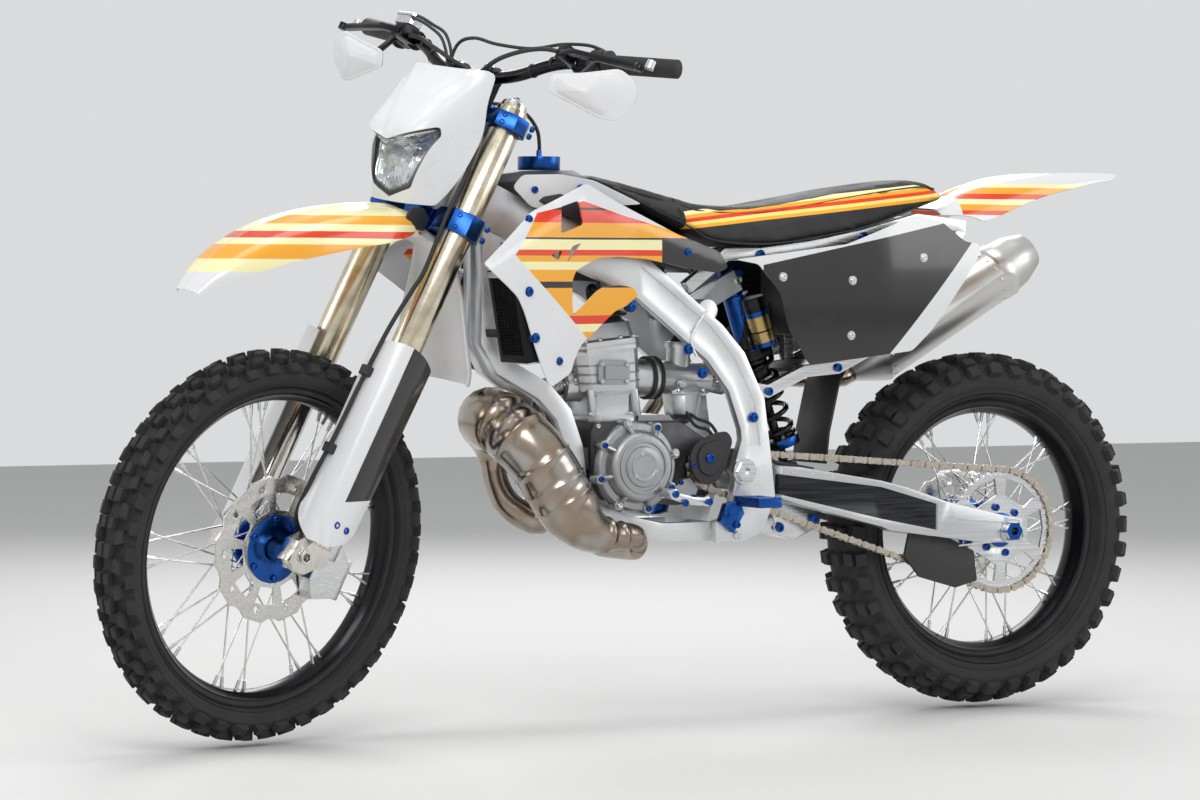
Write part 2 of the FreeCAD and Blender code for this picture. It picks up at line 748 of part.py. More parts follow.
def cylinder_head():
    """Water-cooled head: flange, rounded cover, outlet neck and spark plug."""
    base = head_joint + seat_gap
    rings = [(base, 828, 66, 58, head_slope), (base + 10, 829, 66, 58, head_slope),
             (base + 14, 829, 58, 52, head_slope), (base + 40, 831, 54, 46, head_slope),
             (base + 50, 832, 40, 34, head_slope)]
    head = loft([cylinder_ring(*ring) for ring in rings])
    plug = cyl(vec(830, 0, base + 44), vec(835, 0, base + 76), 11)
    neck = cyl(vec(868, -20, base + 20), vec(892, -40, base + 30), 13)
    return head.fuse([plug, neck])


def carburettor():
    """Carburettor with its bowl and slide tower, and the intake stub that joins it to the cylinder."""
    barrel = Part.makeCylinder(30, 110, vec(600, 0, 618), vec(1, 0, 0.05))
    bowl = loft([cylinder_ring(546, 648, 20, 22, 0), cylinder_ring(556, 648, 26, 32, 0),
                 cylinder_ring(592, 648, 30, 36, 0), cylinder_ring(604, 648, 30, 30, 0)])
    slide = Part.makeCylinder(22, 58, vec(656, 0, 620))
    cap = Part.makeCylinder(25, 10, vec(656, 0, 677))
    stub = Part.makeCylinder(34, 56 - seat_gap, vec(703, 0, 622), vec(1, 0, 0))
    clamp = Part.makeCylinder(37, 10, vec(708, 0, 622), vec(1, 0, 0))
    return barrel.fuse([bowl, slide, cap, stub, clamp])


def airbox():
    outline = [(436, 700), (436, 846), (330, 866), (170, 878), (190, 740), (300, 690)]
    half = spar_outer - spar_wall - subframe_width - 2 * seat_gap
    return side_plate(outline, -half, half).fuse(loft_duct())


def front_section(x, y, z):
    return [vec(x, y - 13, z - 20), vec(x, y + 13, z - 20), vec(x, y + 13, z + 20), vec(x, y - 13, z + 20)]


def loft_duct():
    return loft([front_section(598.6, 0, 618), front_section(560, -50, 650), front_section(500, -58, 700),
                 front_section(435, -56, 740)])


chamber_end = FreeCAD.Vector(792, 91, 335)
chamber_step = FreeCAD.Vector(-8, -7, -8)
silencer_start = FreeCAD.Vector(190, -148, 622)
silencer_step = FreeCAD.Vector(-16, 0, 8.8)


def smooth_stations(points, radii, steps):
    """Centres and radii of a pipe on a smooth curve through the given ones."""
    centers = []
    sizes = []
    for index in range(len(points) - 1):
        line = [points[max(index - 1, 0)], points[index], points[index + 1],
                points[min(index + 2, len(points) - 1)]]
        for step in range(steps):
            share = step / steps
            centers.append(through(line, share))
            sizes.append(radii[index] + (radii[index + 1] - radii[index]) * share)
    return centers + [points[-1]], sizes + [radii[-1]]


def through(line, share):
    """Point between the middle two of four, on a curve that passes through them."""
    a, b, c, d = line
    return (b * 2 + (c - a) * share + (a * 2 - b * 5 + c * 4 - d) * share ** 2
            + (b * 3 - a - c * 3 + d) * share ** 3) * 0.5


def exhaust():
    """Expansion chamber: header, low loop, swelling bend across the front, belly and tapering end."""
    points = [vec(900.4, 0, 612), vec(918, 0, 609), vec(936, 0, 585), vec(930, 0, 535), vec(906, 0, 450),
              vec(902, -6, 398), vec(924, -28, 367), vec(951, -50, 379), vec(974, -68, 402),
              vec(984, -80, 432), vec(988, -85, 462), vec(991, -84, 492), vec(1002, -72, 521),
              vec(1019, -46, 541), vec(1035, -14, 550), vec(1042, 18, 550), vec(1038, 48, 541),
              vec(1023, 73, 521), vec(1004, 91, 496), vec(983, 102, 465), vec(962, 109, 426),
              vec(936, 112, 388), vec(898, 109, 356), vec(850, 104, 345), vec(822, 103, 346),
              chamber_end - chamber_step]
    radii = [20, 21, 21, 21, 21, 22, 25, 27, 25, 23, 23, 33, 45, 53, 58, 58, 57.5, 57, 57, 56.5, 56.5, 54.5,
             39.5, 27.5, 22.5, 20]
    centers, sizes = smooth_stations(points, radii, 3)
    for station in (71, 68, 61, 59, 56, 51):
        add_weld_ring(centers, sizes, station)
    return pipe(centers + [chamber_end], sizes + [19], 18)


def add_weld_ring(centers, sizes, index):
    """Put a raised ring in a pipe's stations, where two of its sheets are welded together."""
    axis = (centers[index + 1] - centers[index - 1]).normalize()
    size = sizes[index]
    centers[index:index + 1] = [centers[index] + axis * offset for offset in (-2.8, -1.4, 1.4, 2.8)]
    sizes[index:index + 1] = [size, size + 2.2, size + 2.2, size]


def tail_pipe():
    """Tail pipe below the engine to the right side and back to the silencer."""
    start = chamber_end + chamber_step * (2 * seat_gap / chamber_step.Length)
    points = [chamber_end + chamber_step, vec(777, 62, 313), vec(774, 35, 310), vec(776, 0, 310),
              vec(780, -40, 310), vec(780, -80, 313), vec(770, -108, 329), vec(748, -122, 347),
              vec(718, -124, 372), vec(694, -123, 420),
              vec(668, -126, 500), vec(620, -132, 578), vec(540, -138, 610), vec(420, -142, 616),
              vec(260, -146, 610), silencer_start - silencer_step]
    radii = [17, 15, 15, 15, 15, 15, 15, 15, 15, 15, 15, 15, 15, 15, 16, 17]
    centers, sizes = smooth_stations(points, radii, 2)
    return pipe([start] + centers + [silencer_start], [18] + sizes + [18], 12)


def silencer():
    """Silencer: inlet cone, round can, open end cap and the stay that holds it."""
    start = silencer_start + silencer_step * (2 * seat_gap / silencer_step.Length)
    points = [start, start + vec(-40, 0, 22), start + vec(-52, 0, 30), start + vec(-320, 0, 184),
              start + vec(-324, 0, 187), start + vec(-340, 0, 196), start + vec(-344, 0, 199),
              start + vec(-372, 0, 215), start + vec(-404, 0, 234)]
    can = pipe(points, [18, 44, 54, 54, 57, 57, 54, 50, 36], 20)
    outlet = cyl(points[-1] + silencer_step, points[-1] - silencer_step * 3, 22)
    stay = side_plate([(60, 705), (90, 680), (110, 690), (172, 768), (168, 800), (146, 796)], -98, -94)
    return can.cut(outlet).fuse(stay)


def fuel_tank():
    sections = [
        tank_section(1045, 34, 34, 963, 984), tank_section(985, 92, 70, 934, 992),
        tank_section(900, 108, 92, 893.4, 994), tank_section(860, 108, 84, 874, 968),
        tank_section(780, 104, 80, 836, 926), tank_section(680, 90, 70, 812, 884)]
    shell = loft(sections)
    belly = side_plate([(940, 800), (935, 915), (710, 830), (710, 790)], -42, 42)
    return shell.fuse(belly)


def tank_section(x, half_low, half_high, low, high):
    return [vec(x, -half_low, low), vec(x, half_low, low), vec(x, half_high, high - 14),
            vec(x, half_high * 0.5, high), vec(x, -half_high * 0.5, high), vec(x, -half_high, high - 14)]


def fuel_cap():
    base = Part.makeCylinder(38, 24, vec(946, 0, 994.1))
    stub = Part.makeCylinder(5, 12, vec(946, 0, 1017))
    return base.fuse(stub)


def radiators():
    frame = side_plate([(1098, 815), (1070, 655), (1038, 660), (1066, 820)], 92, radiator_side)
    window = side_plate([(1100, 800), (1075, 668), (1064, 670), (1089, 802)], 104, 180)
    slats = [side_plate([(1094, 800), (1069, 668), (1064, 670), (1089, 802)], y - 1.5, y + 1.5)
             for y in range(112, 178, 12)]
    tab = side_plate([(1074, 712), (1058, 712), (1055, 698), (1071, 698)], 40.2, 92)
    return pair(frame.cut(window).fuse(slats + [tab]))


def shrouds():
    """Shrouds that flare out over the radiators, notched where the spars pass, with vents."""
    outline = [(1176, 828), (1060, 918), (951, 964), (929, 970), (815, 918), (736, 882), (645, 852),
               (627, 822), (651, 813), (707, 819), (746, 827), (803, 837), (860, 841), (913, 839), (938, 830),
               (970, 816), (979, 800), (979, 762), (976, 737), (915, 782), (895, 789), (857, 791),
               (830, 786), (820, 773), (845, 754), (872, 745), (922, 709), (956, 686), (971, 660),
               (978, 638), (1025, 613), (1043, 644), (1063, 688), (1086, 745), (1101, 771), (1126, 791)]
    vents = [[(1003, 928), (963, 939), (951, 897), (1006, 881)], [(1029, 843), (1002, 852), (1011, 833)],
             [(980, 859), (955, 865), (992, 829)]]
    line = [(600, 122), (850, 136), (1000, 188), (1180, 226)]
    shroud = bent_panel(outline, line, 4.0)
    bosses = [tube_y(x, z, radiator_side + seat_gap, reach, 8) for x, z, reach in ((1062, 700, 201), (1078, 780, 204))]
    return pair(shroud.cut([side_plate(vent, 100, 300) for vent in vents]).fuse(bosses))


def seat():
    """Seat: foam on a base, from the tank to the rear fender."""
    profile = [(884, 990, 958, 44, 60), (760, 960, 905, 66, 96), (650, 934, 862, 78, 118),
               (540, 932, 858, 84, 124), (430, 948, 872, 88, 126), (320, 967, 893, 88, 120),
               (180, 984, 935, 78, 100), (132, 972, 950, 60, 84)]
    sections = []
    for x, top, low, half_top, half_low in profile:
        sections.append([vec(x, -half_low, low), vec(x, half_low, low), vec(x, half_top, top - 8),
                         vec(x, half_top * 0.5, top), vec(x, -half_top * 0.5, top), vec(x, -half_top, top - 8)])
    tank = fuel_tank()
    tank.translate(vec(0, 0, seat_gap))
    return loft(sections).cut(tank)


def side_panels():
    left_outline = [(569, 829), (617, 837), (386, 866), (252, 915), (223, 920), (176, 909), (123, 872),
                    (93, 869), (89, 854), (126, 803), (200, 710), (243, 671), (308, 664), (457, 646),
                    (505, 709), (525, 775)]
    right_outline = [(569, 829), (617, 837), (386, 866), (252, 915), (223, 920), (196, 905), (215, 800),
                     (262, 722), (308, 664), (457, 646), (505, 709), (525, 775)]
    line = [(640, 130), (480, 138), (300, 150), (80, 138)]
    left = bent_panel(left_outline, line, 4.0)
    right = bent_panel(right_outline, line, 4.0)
    bosses = [tube_y(377, z, spar_outer - spar_wall, 144, 7) for z in (700, 800)]
    return Part.makeCompound([left.fuse(bosses), mirrored(right.fuse(bosses))])


def rear_fender():
    """High rear fender from its tip forward to the end of the seat."""
    spine = [(-300, 1005, 30, 8), (-220, 1004, 46, 22), (-110, 1000, 64, 40), (-20, 990, 78, 56),
             (60, 968, 86, 60), (100, 952, 90, 34), (150, 934.5, 92, 14)]
    return moulded_sheet(spine, 4.0)


def mud_flap():
    return side_plate(band([(300, 688.6), (345, 610), (366, 520), (372, 462)], 5), -58, 58)


def footpegs():
    bracket = side_plate([(612, 345), (640, 366), (628, 398), (600, 404), (590, 380)],
                         spar_outer + seat_gap, spar_outer + 16)
    peg = top_plate([(608, 120), (608, 208), (560, 208), (556, 130), (590, 120)], 394, 412)
    slots = [top_plate([(600, y), (600, y + 24), (567, y + 24), (567, y)], 390, 420) for y in (138, 172)]
    notches = [side_plate([(612, 404), (612, 414), (552, 414), (552, 404)], y, y + 6)
               for y in (134, 148, 162, 176, 190)]
    return pair(bracket.fuse(peg.cut(slots + notches)))


def foot_controls():
    lever = side_plate(band([(666, 403), (700, 405), (755, 420)], 14), 121, 131)
    shaft = tube_y(666, 403, 68 + seat_gap, 122, 9)
    toe = tube_y(755, 420, 122, 160, 9)
    pedal = side_plate(band([(622, 368), (690, 374), (800, 392)], 14), -152, -142)
    pivot = tube_y(622, 368, -143, -spar_outer - 16 - seat_gap, 10)
    pad = tube_y(800, 392, -156, -122, 10)
    return Part.makeCompound([lever.fuse([shaft, toe]), pedal.fuse([pivot, pad])])


def front_sprocket():
    plate = sprocket(front_teeth, sprocket_thickness, 11.0, None)
    shaft = tube_y(0, 0, -chain_line + 68 + seat_gap, 12, 11.0)
    shape = plate.fuse(shaft)
    shape.translate(vec(countershaft_x, chain_line, countershaft_z))
    return shape


def chain_guide():
    outline = [(215, 332.2), (120, 319.4), (70, 296), (62, 240), (110, 228), (190, 250), (225, 290)]
    return side_plate(outline, chain_line + chain_width / 2 + 3, chain_line + chain_width / 2 + 9)


def rear_caliper():
    """Brake caliper on its bracket inside the right arm, beside the rear disc."""
    outline = [(96, 400), (134, 376), (134, 330), (104, 330), (72, 386)]
    return side_plate(outline, -swingarm_end + arm_thickness + seat_gap, -rear_disc_y() - 6)


def triple_clamps():
    """Lower and upper fork clamps joined by the steering stem."""
    half = fork_spacing / 2
    plates = []
    for height, thickness in ((lower_clamp_height, lower_clamp_thickness),
                              (upper_clamp_height, upper_clamp_thickness)):
        outline = [(-30, -34), (fork_offset - 32, -half), (fork_offset - 32, -half - 22),
                   (fork_offset - 14, -half - 38), (fork_offset + 14, -half - 38),
                   (fork_offset + 36, -half - 10), (fork_offset + 30, -half + 34), (30, -30), (30, 30),
                   (fork_offset + 30, half - 34), (fork_offset + 36, half + 10),
                   (fork_offset + 14, half + 38), (fork_offset - 14, half + 38),
                   (fork_offset - 32, half + 22), (fork_offset - 32, half), (-30, 34)]
        plates.append(top_plate(outline, height - thickness / 2, height + thickness / 2))
    stem = Part.makeCylinder(stem_radius, upper_clamp_height - lower_clamp_height + 60,
                             vec(0, 0, lower_clamp_height - 20))
    low, high = hung(lamp_back - seat_gap, 0, 952), hung(lamp_back - seat_gap, 0, 1050)
    foot = lower_clamp_height - 15
    top = lower_clamp_height + lower_clamp_thickness / 2 - seat_gap
    stay = side_plate([(20, foot), (50, foot), (low.x, low.z), (high.x, high.z), (42, foot + 125), (42, top),
                       (20, top)], -22, 22)
    clamps = plates[0].fuse([plates[1], stem, stay])
    for side in (-1, 1):
        clamps = clamps.cut(Part.makeCylinder(outer_tube_radius + seat_gap, 400,
                                              vec(fork_offset, side * half, lower_clamp_height - 100)))
    return clamps


def fork_outer_tubes():
    length = fork_top_height - outer_tube_bottom
    tube = Part.makeCylinder(outer_tube_radius, length, vec(fork_offset, fork_spacing / 2, outer_tube_bottom))
    cap = Part.makeCylinder(outer_tube_radius - 4, 8, vec(fork_offset, fork_spacing / 2, fork_top_height))
    tube = tube.fuse(cap)
    bore = Part.makeCylinder(inner_tube_radius + seat_gap, 60, vec(fork_offset, fork_spacing / 2,
                                                                 outer_tube_bottom - 1))
    return pair(tube.cut(bore))


def fork_legs():
    """Inner fork tubes with their axle lugs, and the front axle clamped in them."""
    height = front_axle_height()
    y = fork_spacing / 2
    lead = fork_offset + axle_lead
    tube = Part.makeCylinder(inner_tube_radius, outer_tube_bottom + 50 - height - 30,
                             vec(fork_offset, y, height + 30))
    lug_outline = [(fork_offset - 27, height + 90), (fork_offset + 27, height + 90),
                   (fork_offset + 28, height + 46), (lead + 24, height + 20),
                   (lead + 24, height - 18), (lead + 8, height - 28), (lead - 18, height - 26),
                   (fork_offset - 25, height + 10)]
    lug = side_plate(lug_outline, y - 20, y + 14)
    leg = tube.fuse(lug)
    axle = tube_y(lead, height, -y - 16, y + 18, front_axle_radius)
    spacer = tube_y(lead, height, front_hub_left() + 3, y - 19, 19)
    spacer_right = tube_y(lead, height, -y + 19, -front_hub_length / 2 - 3, 19)
    legs = leg.fuse([mirrored(leg), axle, spacer, spacer_right])
    return legs.cut(tube_y(lead, height, -y - 40, y + 40, axle_bore_radius))


def front_hub_left():
    return front_hub_length / 2 + disc_thickness


def fork_guards():
    """Guards that wrap the outer side of the inner fork tubes."""
    height = front_axle_height()
    y = fork_spacing / 2
    plan = band([(fork_offset - 60, y + 18), (fork_offset - 12, y + 36), (fork_offset + 16, y + 36),
                 (fork_offset + 46, y + 8), (fork_offset + 48, y - 26)], 4)
    wall = top_plate(plan, height + 48, height + 410)
    outline = [(fork_offset - 40, height + 60), (fork_offset - 54, height + 390),
               (fork_offset - 20, height + 404), (fork_offset + 60, height + 400), (fork_offset + 60, height + 30),
               (fork_offset - 10, height + 26)]
    guard = wall.common(side_plate(outline, -200, 200))
    boss = side_plate([(fork_offset - 20, height + 60), (fork_offset + 20, height + 60),
                       (fork_offset + 20, height + 84), (fork_offset - 20, height + 84)],
                      y + 14 + seat_gap, y + 35)
    tube = Part.makeCylinder(inner_tube_radius + seat_gap, 400, vec(fork_offset, y, height))
    return pair(guard.fuse(boss).cut(tube))


def front_caliper():
    """Brake caliper behind the left fork leg, over the disc, with its bracket."""
    height = front_axle_height()
    lead = fork_offset + axle_lead
    outline = [(lead - 70, height + 18), (lead - 96, height + 66), (lead - 134, height + 40),
               (lead - 136, height - 30), (lead - 92, height - 50), (lead - 70, height - 20)]
    disc_y = front_hub_length / 2 + disc_thickness / 2
    outer = side_plate(outline, disc_y + 5, disc_y + 36)
    pad_outline = [(lead - 88, height + 46), (lead - 134, height + 40), (lead - 136, height - 30),
                   (lead - 92, height - 36)]
    inner = side_plate(pad_outline, disc_y - 8.5, disc_y - 4)
    bridge_outline = [(lead - 134, height + 40), (lead - 136, height - 30), (lead - 146, height - 30),
                      (lead - 144, height + 44)]
    bridge = side_plate(bridge_outline, disc_y - 8.5, disc_y + 36)
    arm = side_plate([(fork_offset - 28, height + 80), (fork_offset - 28, height + 10),
                      (lead - 92, height + 20), (lead - 92, height + 60)], disc_y + 20, disc_y + 36)
    tab = side_plate([(fork_offset - 27 - seat_gap, height + 80), (fork_offset - 27 - seat_gap, height + 20),
                      (fork_offset - 44, height + 20), (fork_offset - 44, height + 80)], disc_y + 20, 108)
    return outer.fuse([inner, bridge, arm, tab])


def front_brake_hose():
    """Hose from the caliper up behind the left fork leg to the handlebar."""
    height = front_axle_height()
    y = fork_spacing / 2
    points = [vec(-62, 62, height + 84), vec(-14, 62, height + 168), vec(36, 64, height + 250),
              vec(57, 84, height + 330), vec(60, 100, height + 430), vec(59, 103, lower_clamp_height - 104),
              vec(63, 101, lower_clamp_height + 6), vec(58, 98, lower_clamp_height + 91),
              vec(62, 92, upper_clamp_height - 44), vec(74, 86, upper_clamp_height + 6),
              vec(82, 40, upper_clamp_height + 56), vec(86, -40, upper_clamp_height + 82),
              vec(80, -116, upper_clamp_height + 106), vec(62, -166, upper_clamp_height + 122),
              vec(60, -200.7, upper_clamp_height + 125)]
    return bent_tube(points, 4.0)


def front_fender():
    """High front fender: its flap behind the tyre, its seat below the lower clamp and its long tip."""
    base = lower_clamp_height - lower_clamp_thickness / 2 - seat_gap
    shape = [(-172, -202, 92, 24), (-160, -180, 96, 24), (-134, -146, 94, 24), (-104, -100, 84, 22),
             (-76, -58, 70, 18), (-46, -20, 56, 14), (-20, 0, 50, 12), (48, 0, 54, 22), (66, 10, 58, 26),
             (104, 6, 70, 44), (163, -20, 84, 56), (235, -62, 86, 60), (300, -111, 84, 58),
             (348, -156, 78, 52), (389, -208, 68, 42), (420, -262, 52, 26), (436, -314, 34, 12)]
    return moulded_sheet([(v, base + rise, half, drop) for v, rise, half, drop in shape], 4.0)


mask_drawn_height = 1000.0


def hung(x, y, z):
    """Point of what hangs on the lower clamp, from its place with the clamp at its drawn height."""
    return local(x, y, z) + vec(0, 0, lower_clamp_height - mask_drawn_height)


mask_levels = ((1176, 1128, 105, 1160, 72), (1120, 1144, 106, 1216, 66), (1062, 1150, 104, 1268, 64),
               (1000, 1180, 98, 1264, 60), (938, 1216, 84, 1256, 52))
mask_wall = 4.0
lamp_back = 1200.0


def mask_form(wall, back):
    """Closed form inside the mask's outer face by a wall, reaching behind it by some way."""
    rows = []
    last = len(mask_levels) - 1
    for index, (z, x_side, half_side, x_front, half_front) in enumerate(mask_levels):
        level = z - wall if index == 0 else z + wall if index == last else z
        side = half_side - wall
        rows.append([hung(x_side - back, -side, level), hung(x_side, -side, level),
                     hung(x_front - wall, -half_front, level), hung(x_front + 8 - wall, 0, level),
                     hung(x_front - wall, half_front, level), hung(x_side, side, level),
                     hung(x_side - back, side, level)])
    return loft(rows)


def headlight_mask():
    """Number-plate mask around the headlight, open behind."""
    return mask_form(0, 1).cut(mask_form(mask_wall, 30)).cut(lens_block(0.6))


def lens_outline(grow):
    corners = [(-74, 1066), (-40, 1052), (0, 1040), (40, 1052), (74, 1066), (78, 1052), (42, 968), (0, 948),
               (-42, 968), (-78, 1052)]
    center_z = 1010
    return [(y * (1 + grow / 60), center_z + (z - center_z) * (1 + grow / 50)) for y, z in corners]


def lens_block(grow):
    return front_plate_local(lens_outline(grow), lamp_back, 1300)


def front_plate_local(outline, x_low, x_high):
    first = [hung(x_low, y, z) for y, z in outline]
    reach = hung(x_high, 0, 1000) - hung(x_low, 0, 1000)
    return face(first).extrude(reach)


def headlight():
    """Headlight with its clear lens front and its closed bowl behind."""
    return lens_block(0.0).common(mask_form(1.0, 0))


def bar_point(ahead, side, above):
    """Point of the handlebar or what it carries, from the top of the upper clamp."""
    return vec(ahead, side, upper_clamp_height + upper_clamp_thickness / 2 + above)


bar_end = (-11, 402, 145)
bar_bend = (20, 252, 123)
bar_rise = (39, 176, 107)
bar_middle = (50, 84, 57)
bar_radius = 11.0
riser_gauge = 42.0
guard_post = 262.0


def handlebar():
    """Handlebar with its risers on the upper clamp."""
    left = [bar_point(*point) for point in (bar_end, bar_bend, bar_rise, bar_middle)]
    right = [vec(point.x, -point.y, point.z) for point in left]
    bar = bent_tube(left + right[::-1], bar_radius)
    middle = left[3]
    foot = bar_point(0, 0, seat_gap).z
    risers = []
    for side in (-riser_gauge, riser_gauge):
        risers.append(Part.makeBox(34, 26, middle.z - 4 - foot, vec(middle.x - 17, side - 13, foot)))
        risers.append(tube_y(middle.x, middle.z, side - 13, side + 13, 19))
    return bar.fuse(risers)


def along_grip(y):
    """Point on the straight outer part of the handlebar, at a distance from the middle plane."""
    end, bend = bar_point(*bar_end), bar_point(*bar_bend)
    return bend + (end - bend) * ((y - bend.y) / (end.y - bend.y))


def grips():
    """Grips with their inner collars, on the ends of the handlebar."""
    start = along_grip(276)
    end = along_grip(408)
    grip = cyl(start, end, 16.5)
    inside = cyl(along_grip(250), along_grip(403), bar_radius + seat_gap)
    collar = cyl(start, along_grip(270), 24)
    return pair(grip.fuse(collar).cut(inside))


def hand_guards():
    """Hand guards: folded shields on posts from the handlebar."""
    outline = [(73, 222, 40), (86, 222, 66), (78, 290, 80), (71, 365, 100), (56, 400, 86), (40, 402, 55),
               (31, 364, 19), (36, 334, 16), (70, 228, 37)]
    shield = face_fan([bar_point(*point) for point in outline], bar_point(73, 308, 47))
    post = cyl(along_grip(guard_post), bar_point(73, guard_post, 55), 6.5)
    return pair(shield.fuse(post).cut(cyl(along_grip(200), along_grip(402), bar_radius + 1)))


def face_fan(outline, center):
    """Shield of flat facets around a centre point, with a wall thickness."""
    back = vec(-5, 0, 0)
    faces = []
    count = len(outline)
    for index in range(count):
        a, b = outline[index], outline[(index + 1) % count]
        faces.append(face([a, b, center]))
        faces.append(face([a + back, b + back, center + back]))
        faces.append(face([a, b, b + back]))
        faces.append(face([a, b + back, a + back]))
    return outward(solid_of(faces))


def levers():
    """Brake and clutch levers with their perches and cylinders on the handlebar."""
    bend = bar_point(*bar_bend)
    along = (bar_point(*bar_rise) - bend).normalize()
    perch = cyl(bend + along * 12, bend + along * 44, 18)
    seat_point = bend + along * 38
    block = Part.makeBox(40, 26, 26, vec(seat_point.x + 6, seat_point.y - 13, seat_point.z - 14))
    perch = perch.fuse(block).cut(cyl(bend - along * 10, bend + along * 70, bar_radius + seat_gap))
    blade = top_plate(band([(seat_point.x + 42, 214), (seat_point.x + 52, 256), (seat_point.x + 36, 330),
                            (seat_point.x + 24, 380), (seat_point.x + 26, 396)], 12),
                      seat_point.z - 8, seat_point.z + 2)
    tip = Part.makeCylinder(8, 12, vec(seat_point.x + 26, 392, seat_point.z - 9))
    return pair(perch.fuse([blade, tip]))


def place_wheel(shape, front):
    moved = shape.copy()
    if front:
        moved.translate(vec(fork_offset + axle_lead, 0, front_axle_height()))
    else:
        moved.translate(vec(0, 0, rear_tyre_radius))
    return moved


def wheel(front):
    """Wheel's pieces by name: tyre, rim, spokes, hub and brake disc."""
    radius, width = (front_tyre_radius, front_tyre_width) if front else (rear_tyre_radius, rear_tyre_width)
    rim_radius, rim_width = (front_rim_radius, front_rim_width) if front else (rear_rim_radius, rear_rim_width)
    length = front_hub_length if front else rear_hub_length
    hub_radius = front_hub_radius if front else rear_hub_radius
    flange = front_flange_radius if front else rear_flange_radius
    pieces = {
        "tyre": tyre(radius, width, rim_radius, rim_width),
        "rim": rim(rim_radius, rim_width),
        "spokes": spokes(length, flange, rim_radius),
    }
    body = hub(length, hub_radius, flange)
    if front:
        disc = brake_disc(front_disc_radius, 60, 10)
        disc.translate(vec(0, front_hub_length / 2 + disc_thickness / 2, 0))
        carrier = tube_y(0, 0, front_hub_length / 2 - 6, front_hub_left(), 60 - seat_gap)
        body = body.fuse(carrier)
    else:
        disc = brake_disc(rear_disc_radius, 50, 9)
        disc.translate(vec(0, -rear_disc_y(), 0))
        right = tube_y(0, 0, -rear_disc_y() - 2, -length / 2 + 6, 50 - seat_gap)
        left = tube_y(0, 0, length / 2 - 6, chain_line + sprocket_thickness / 2, rear_hub_radius - seat_gap)
        body = body.fuse([right, left])
    pieces["hub"] = body.cut(tube_y(0, 0, -120, 120, front_axle_radius + bore_clearance))
    pieces["disc"] = disc
    return pieces


def main():
    os.makedirs("parts", exist_ok=True)
    shock_body, shock_spring = shock()
    chassis = {
        "frame_spars": frame_spars(), "cradle": cradle(), "subframe": subframe(), "swingarm": swingarm(),
        "rear_axle": rear_axle(), "shock_body": shock_body, "shock_spring": shock_spring,
        "linkage": linkage(), "crankcase": crankcase(), "engine_covers": engine_covers(),
        "cylinder": cylinder(), "cylinder_head": cylinder_head(), "carburettor": carburettor(),
        "airbox": airbox(), "expansion_chamber": exhaust(), "tail_pipe": tail_pipe(),
        "silencer": silencer(), "fuel_tank": fuel_tank(), "fuel_cap": fuel_cap(),
        "radiators": radiators(), "shrouds": shrouds(), "seat": seat(), "side_panels": side_panels(),
        "rear_fender": rear_fender(), "mud_flap": mud_flap(), "footpegs": footpegs(),
        "foot_controls": foot_controls(), "front_sprocket": front_sprocket(), "chain": chain(),
        "chain_guide": chain_guide(), "rear_caliper": rear_caliper(),
    }
    steering = {
        "triple_clamps": triple_clamps(), "fork_outer_tubes": fork_outer_tubes(), "fork_legs": fork_legs(),
        "fork_guards": fork_guards(), "front_caliper": front_caliper(),
        "front_brake_hose": front_brake_hose(), "front_fender": front_fender(),
        "headlight_mask": headlight_mask(), "headlight": headlight(), "handlebar": handlebar(),
        "grips": grips(), "hand_guards": hand_guards(), "levers": levers(),
    }
    for name, shape in chassis.items():
        write(shape, name)
    for name, shape in steering.items():
        write(shape, name, steered=True)
    for name, shape in wheel(True).items():
        write(place_wheel(shape, True), "front_" + name, steered=True)
    for name, shape in wheel(False).items():
        write(place_wheel(shape, False), "rear_" + name)
    tooth_wheel = rear_sprocket()
    tooth_wheel.translate(vec(0, chain_line, 0))
    write(place_wheel(tooth_wheel, False), "rear_sprocket")


main()
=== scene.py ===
import bpy
import bmesh
import math
from mathutils import Matrix, Vector
from mathutils.geometry import delaunay_2d_cdt


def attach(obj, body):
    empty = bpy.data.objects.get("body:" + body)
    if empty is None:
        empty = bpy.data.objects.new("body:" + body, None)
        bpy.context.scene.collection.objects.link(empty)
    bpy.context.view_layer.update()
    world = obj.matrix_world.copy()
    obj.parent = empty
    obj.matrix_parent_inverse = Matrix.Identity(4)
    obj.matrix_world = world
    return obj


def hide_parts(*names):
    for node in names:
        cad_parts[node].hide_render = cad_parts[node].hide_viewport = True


# A trail motorcycle with its bars turned to the left, in metres, x forward, y left, z up.
# Lengths in the sections below are millimetres on the ground frame: x from the rear axle,
# z from the ground. ground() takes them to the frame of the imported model.

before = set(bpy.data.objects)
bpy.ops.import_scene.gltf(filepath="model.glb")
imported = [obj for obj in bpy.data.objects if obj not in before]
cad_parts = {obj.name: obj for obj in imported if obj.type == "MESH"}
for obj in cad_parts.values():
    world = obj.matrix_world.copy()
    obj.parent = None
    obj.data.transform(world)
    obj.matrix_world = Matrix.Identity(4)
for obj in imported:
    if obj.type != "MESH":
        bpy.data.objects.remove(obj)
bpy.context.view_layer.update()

# Driving sizes, in millimetres
seat_reference = Vector((470.0, 0.0, 935.0))
wheelbase = 1495.0
front_radius, rear_radius = 342.0, 332.0
front_width, rear_width = 88.0, 128.0
front_rim, rear_rim = 273.0, 237.0
front_rim_width, rear_rim_width = 50.0, 64.0
rake = math.radians(26.5)
steer = math.radians(15.9)
fork_offset, axle_lead, fork_spacing = 22.0, 30.7, 198.0
trail = (front_radius * math.sin(rake) - fork_offset - axle_lead) / math.cos(rake)
head_foot = wheelbase + trail
axle_height = trail * math.sin(rake) + front_radius * math.cos(rake)
chain_line = 80.0
lower_clamp, upper_clamp = 1000.0, 1200.0
clamp_top = upper_clamp + 14.0
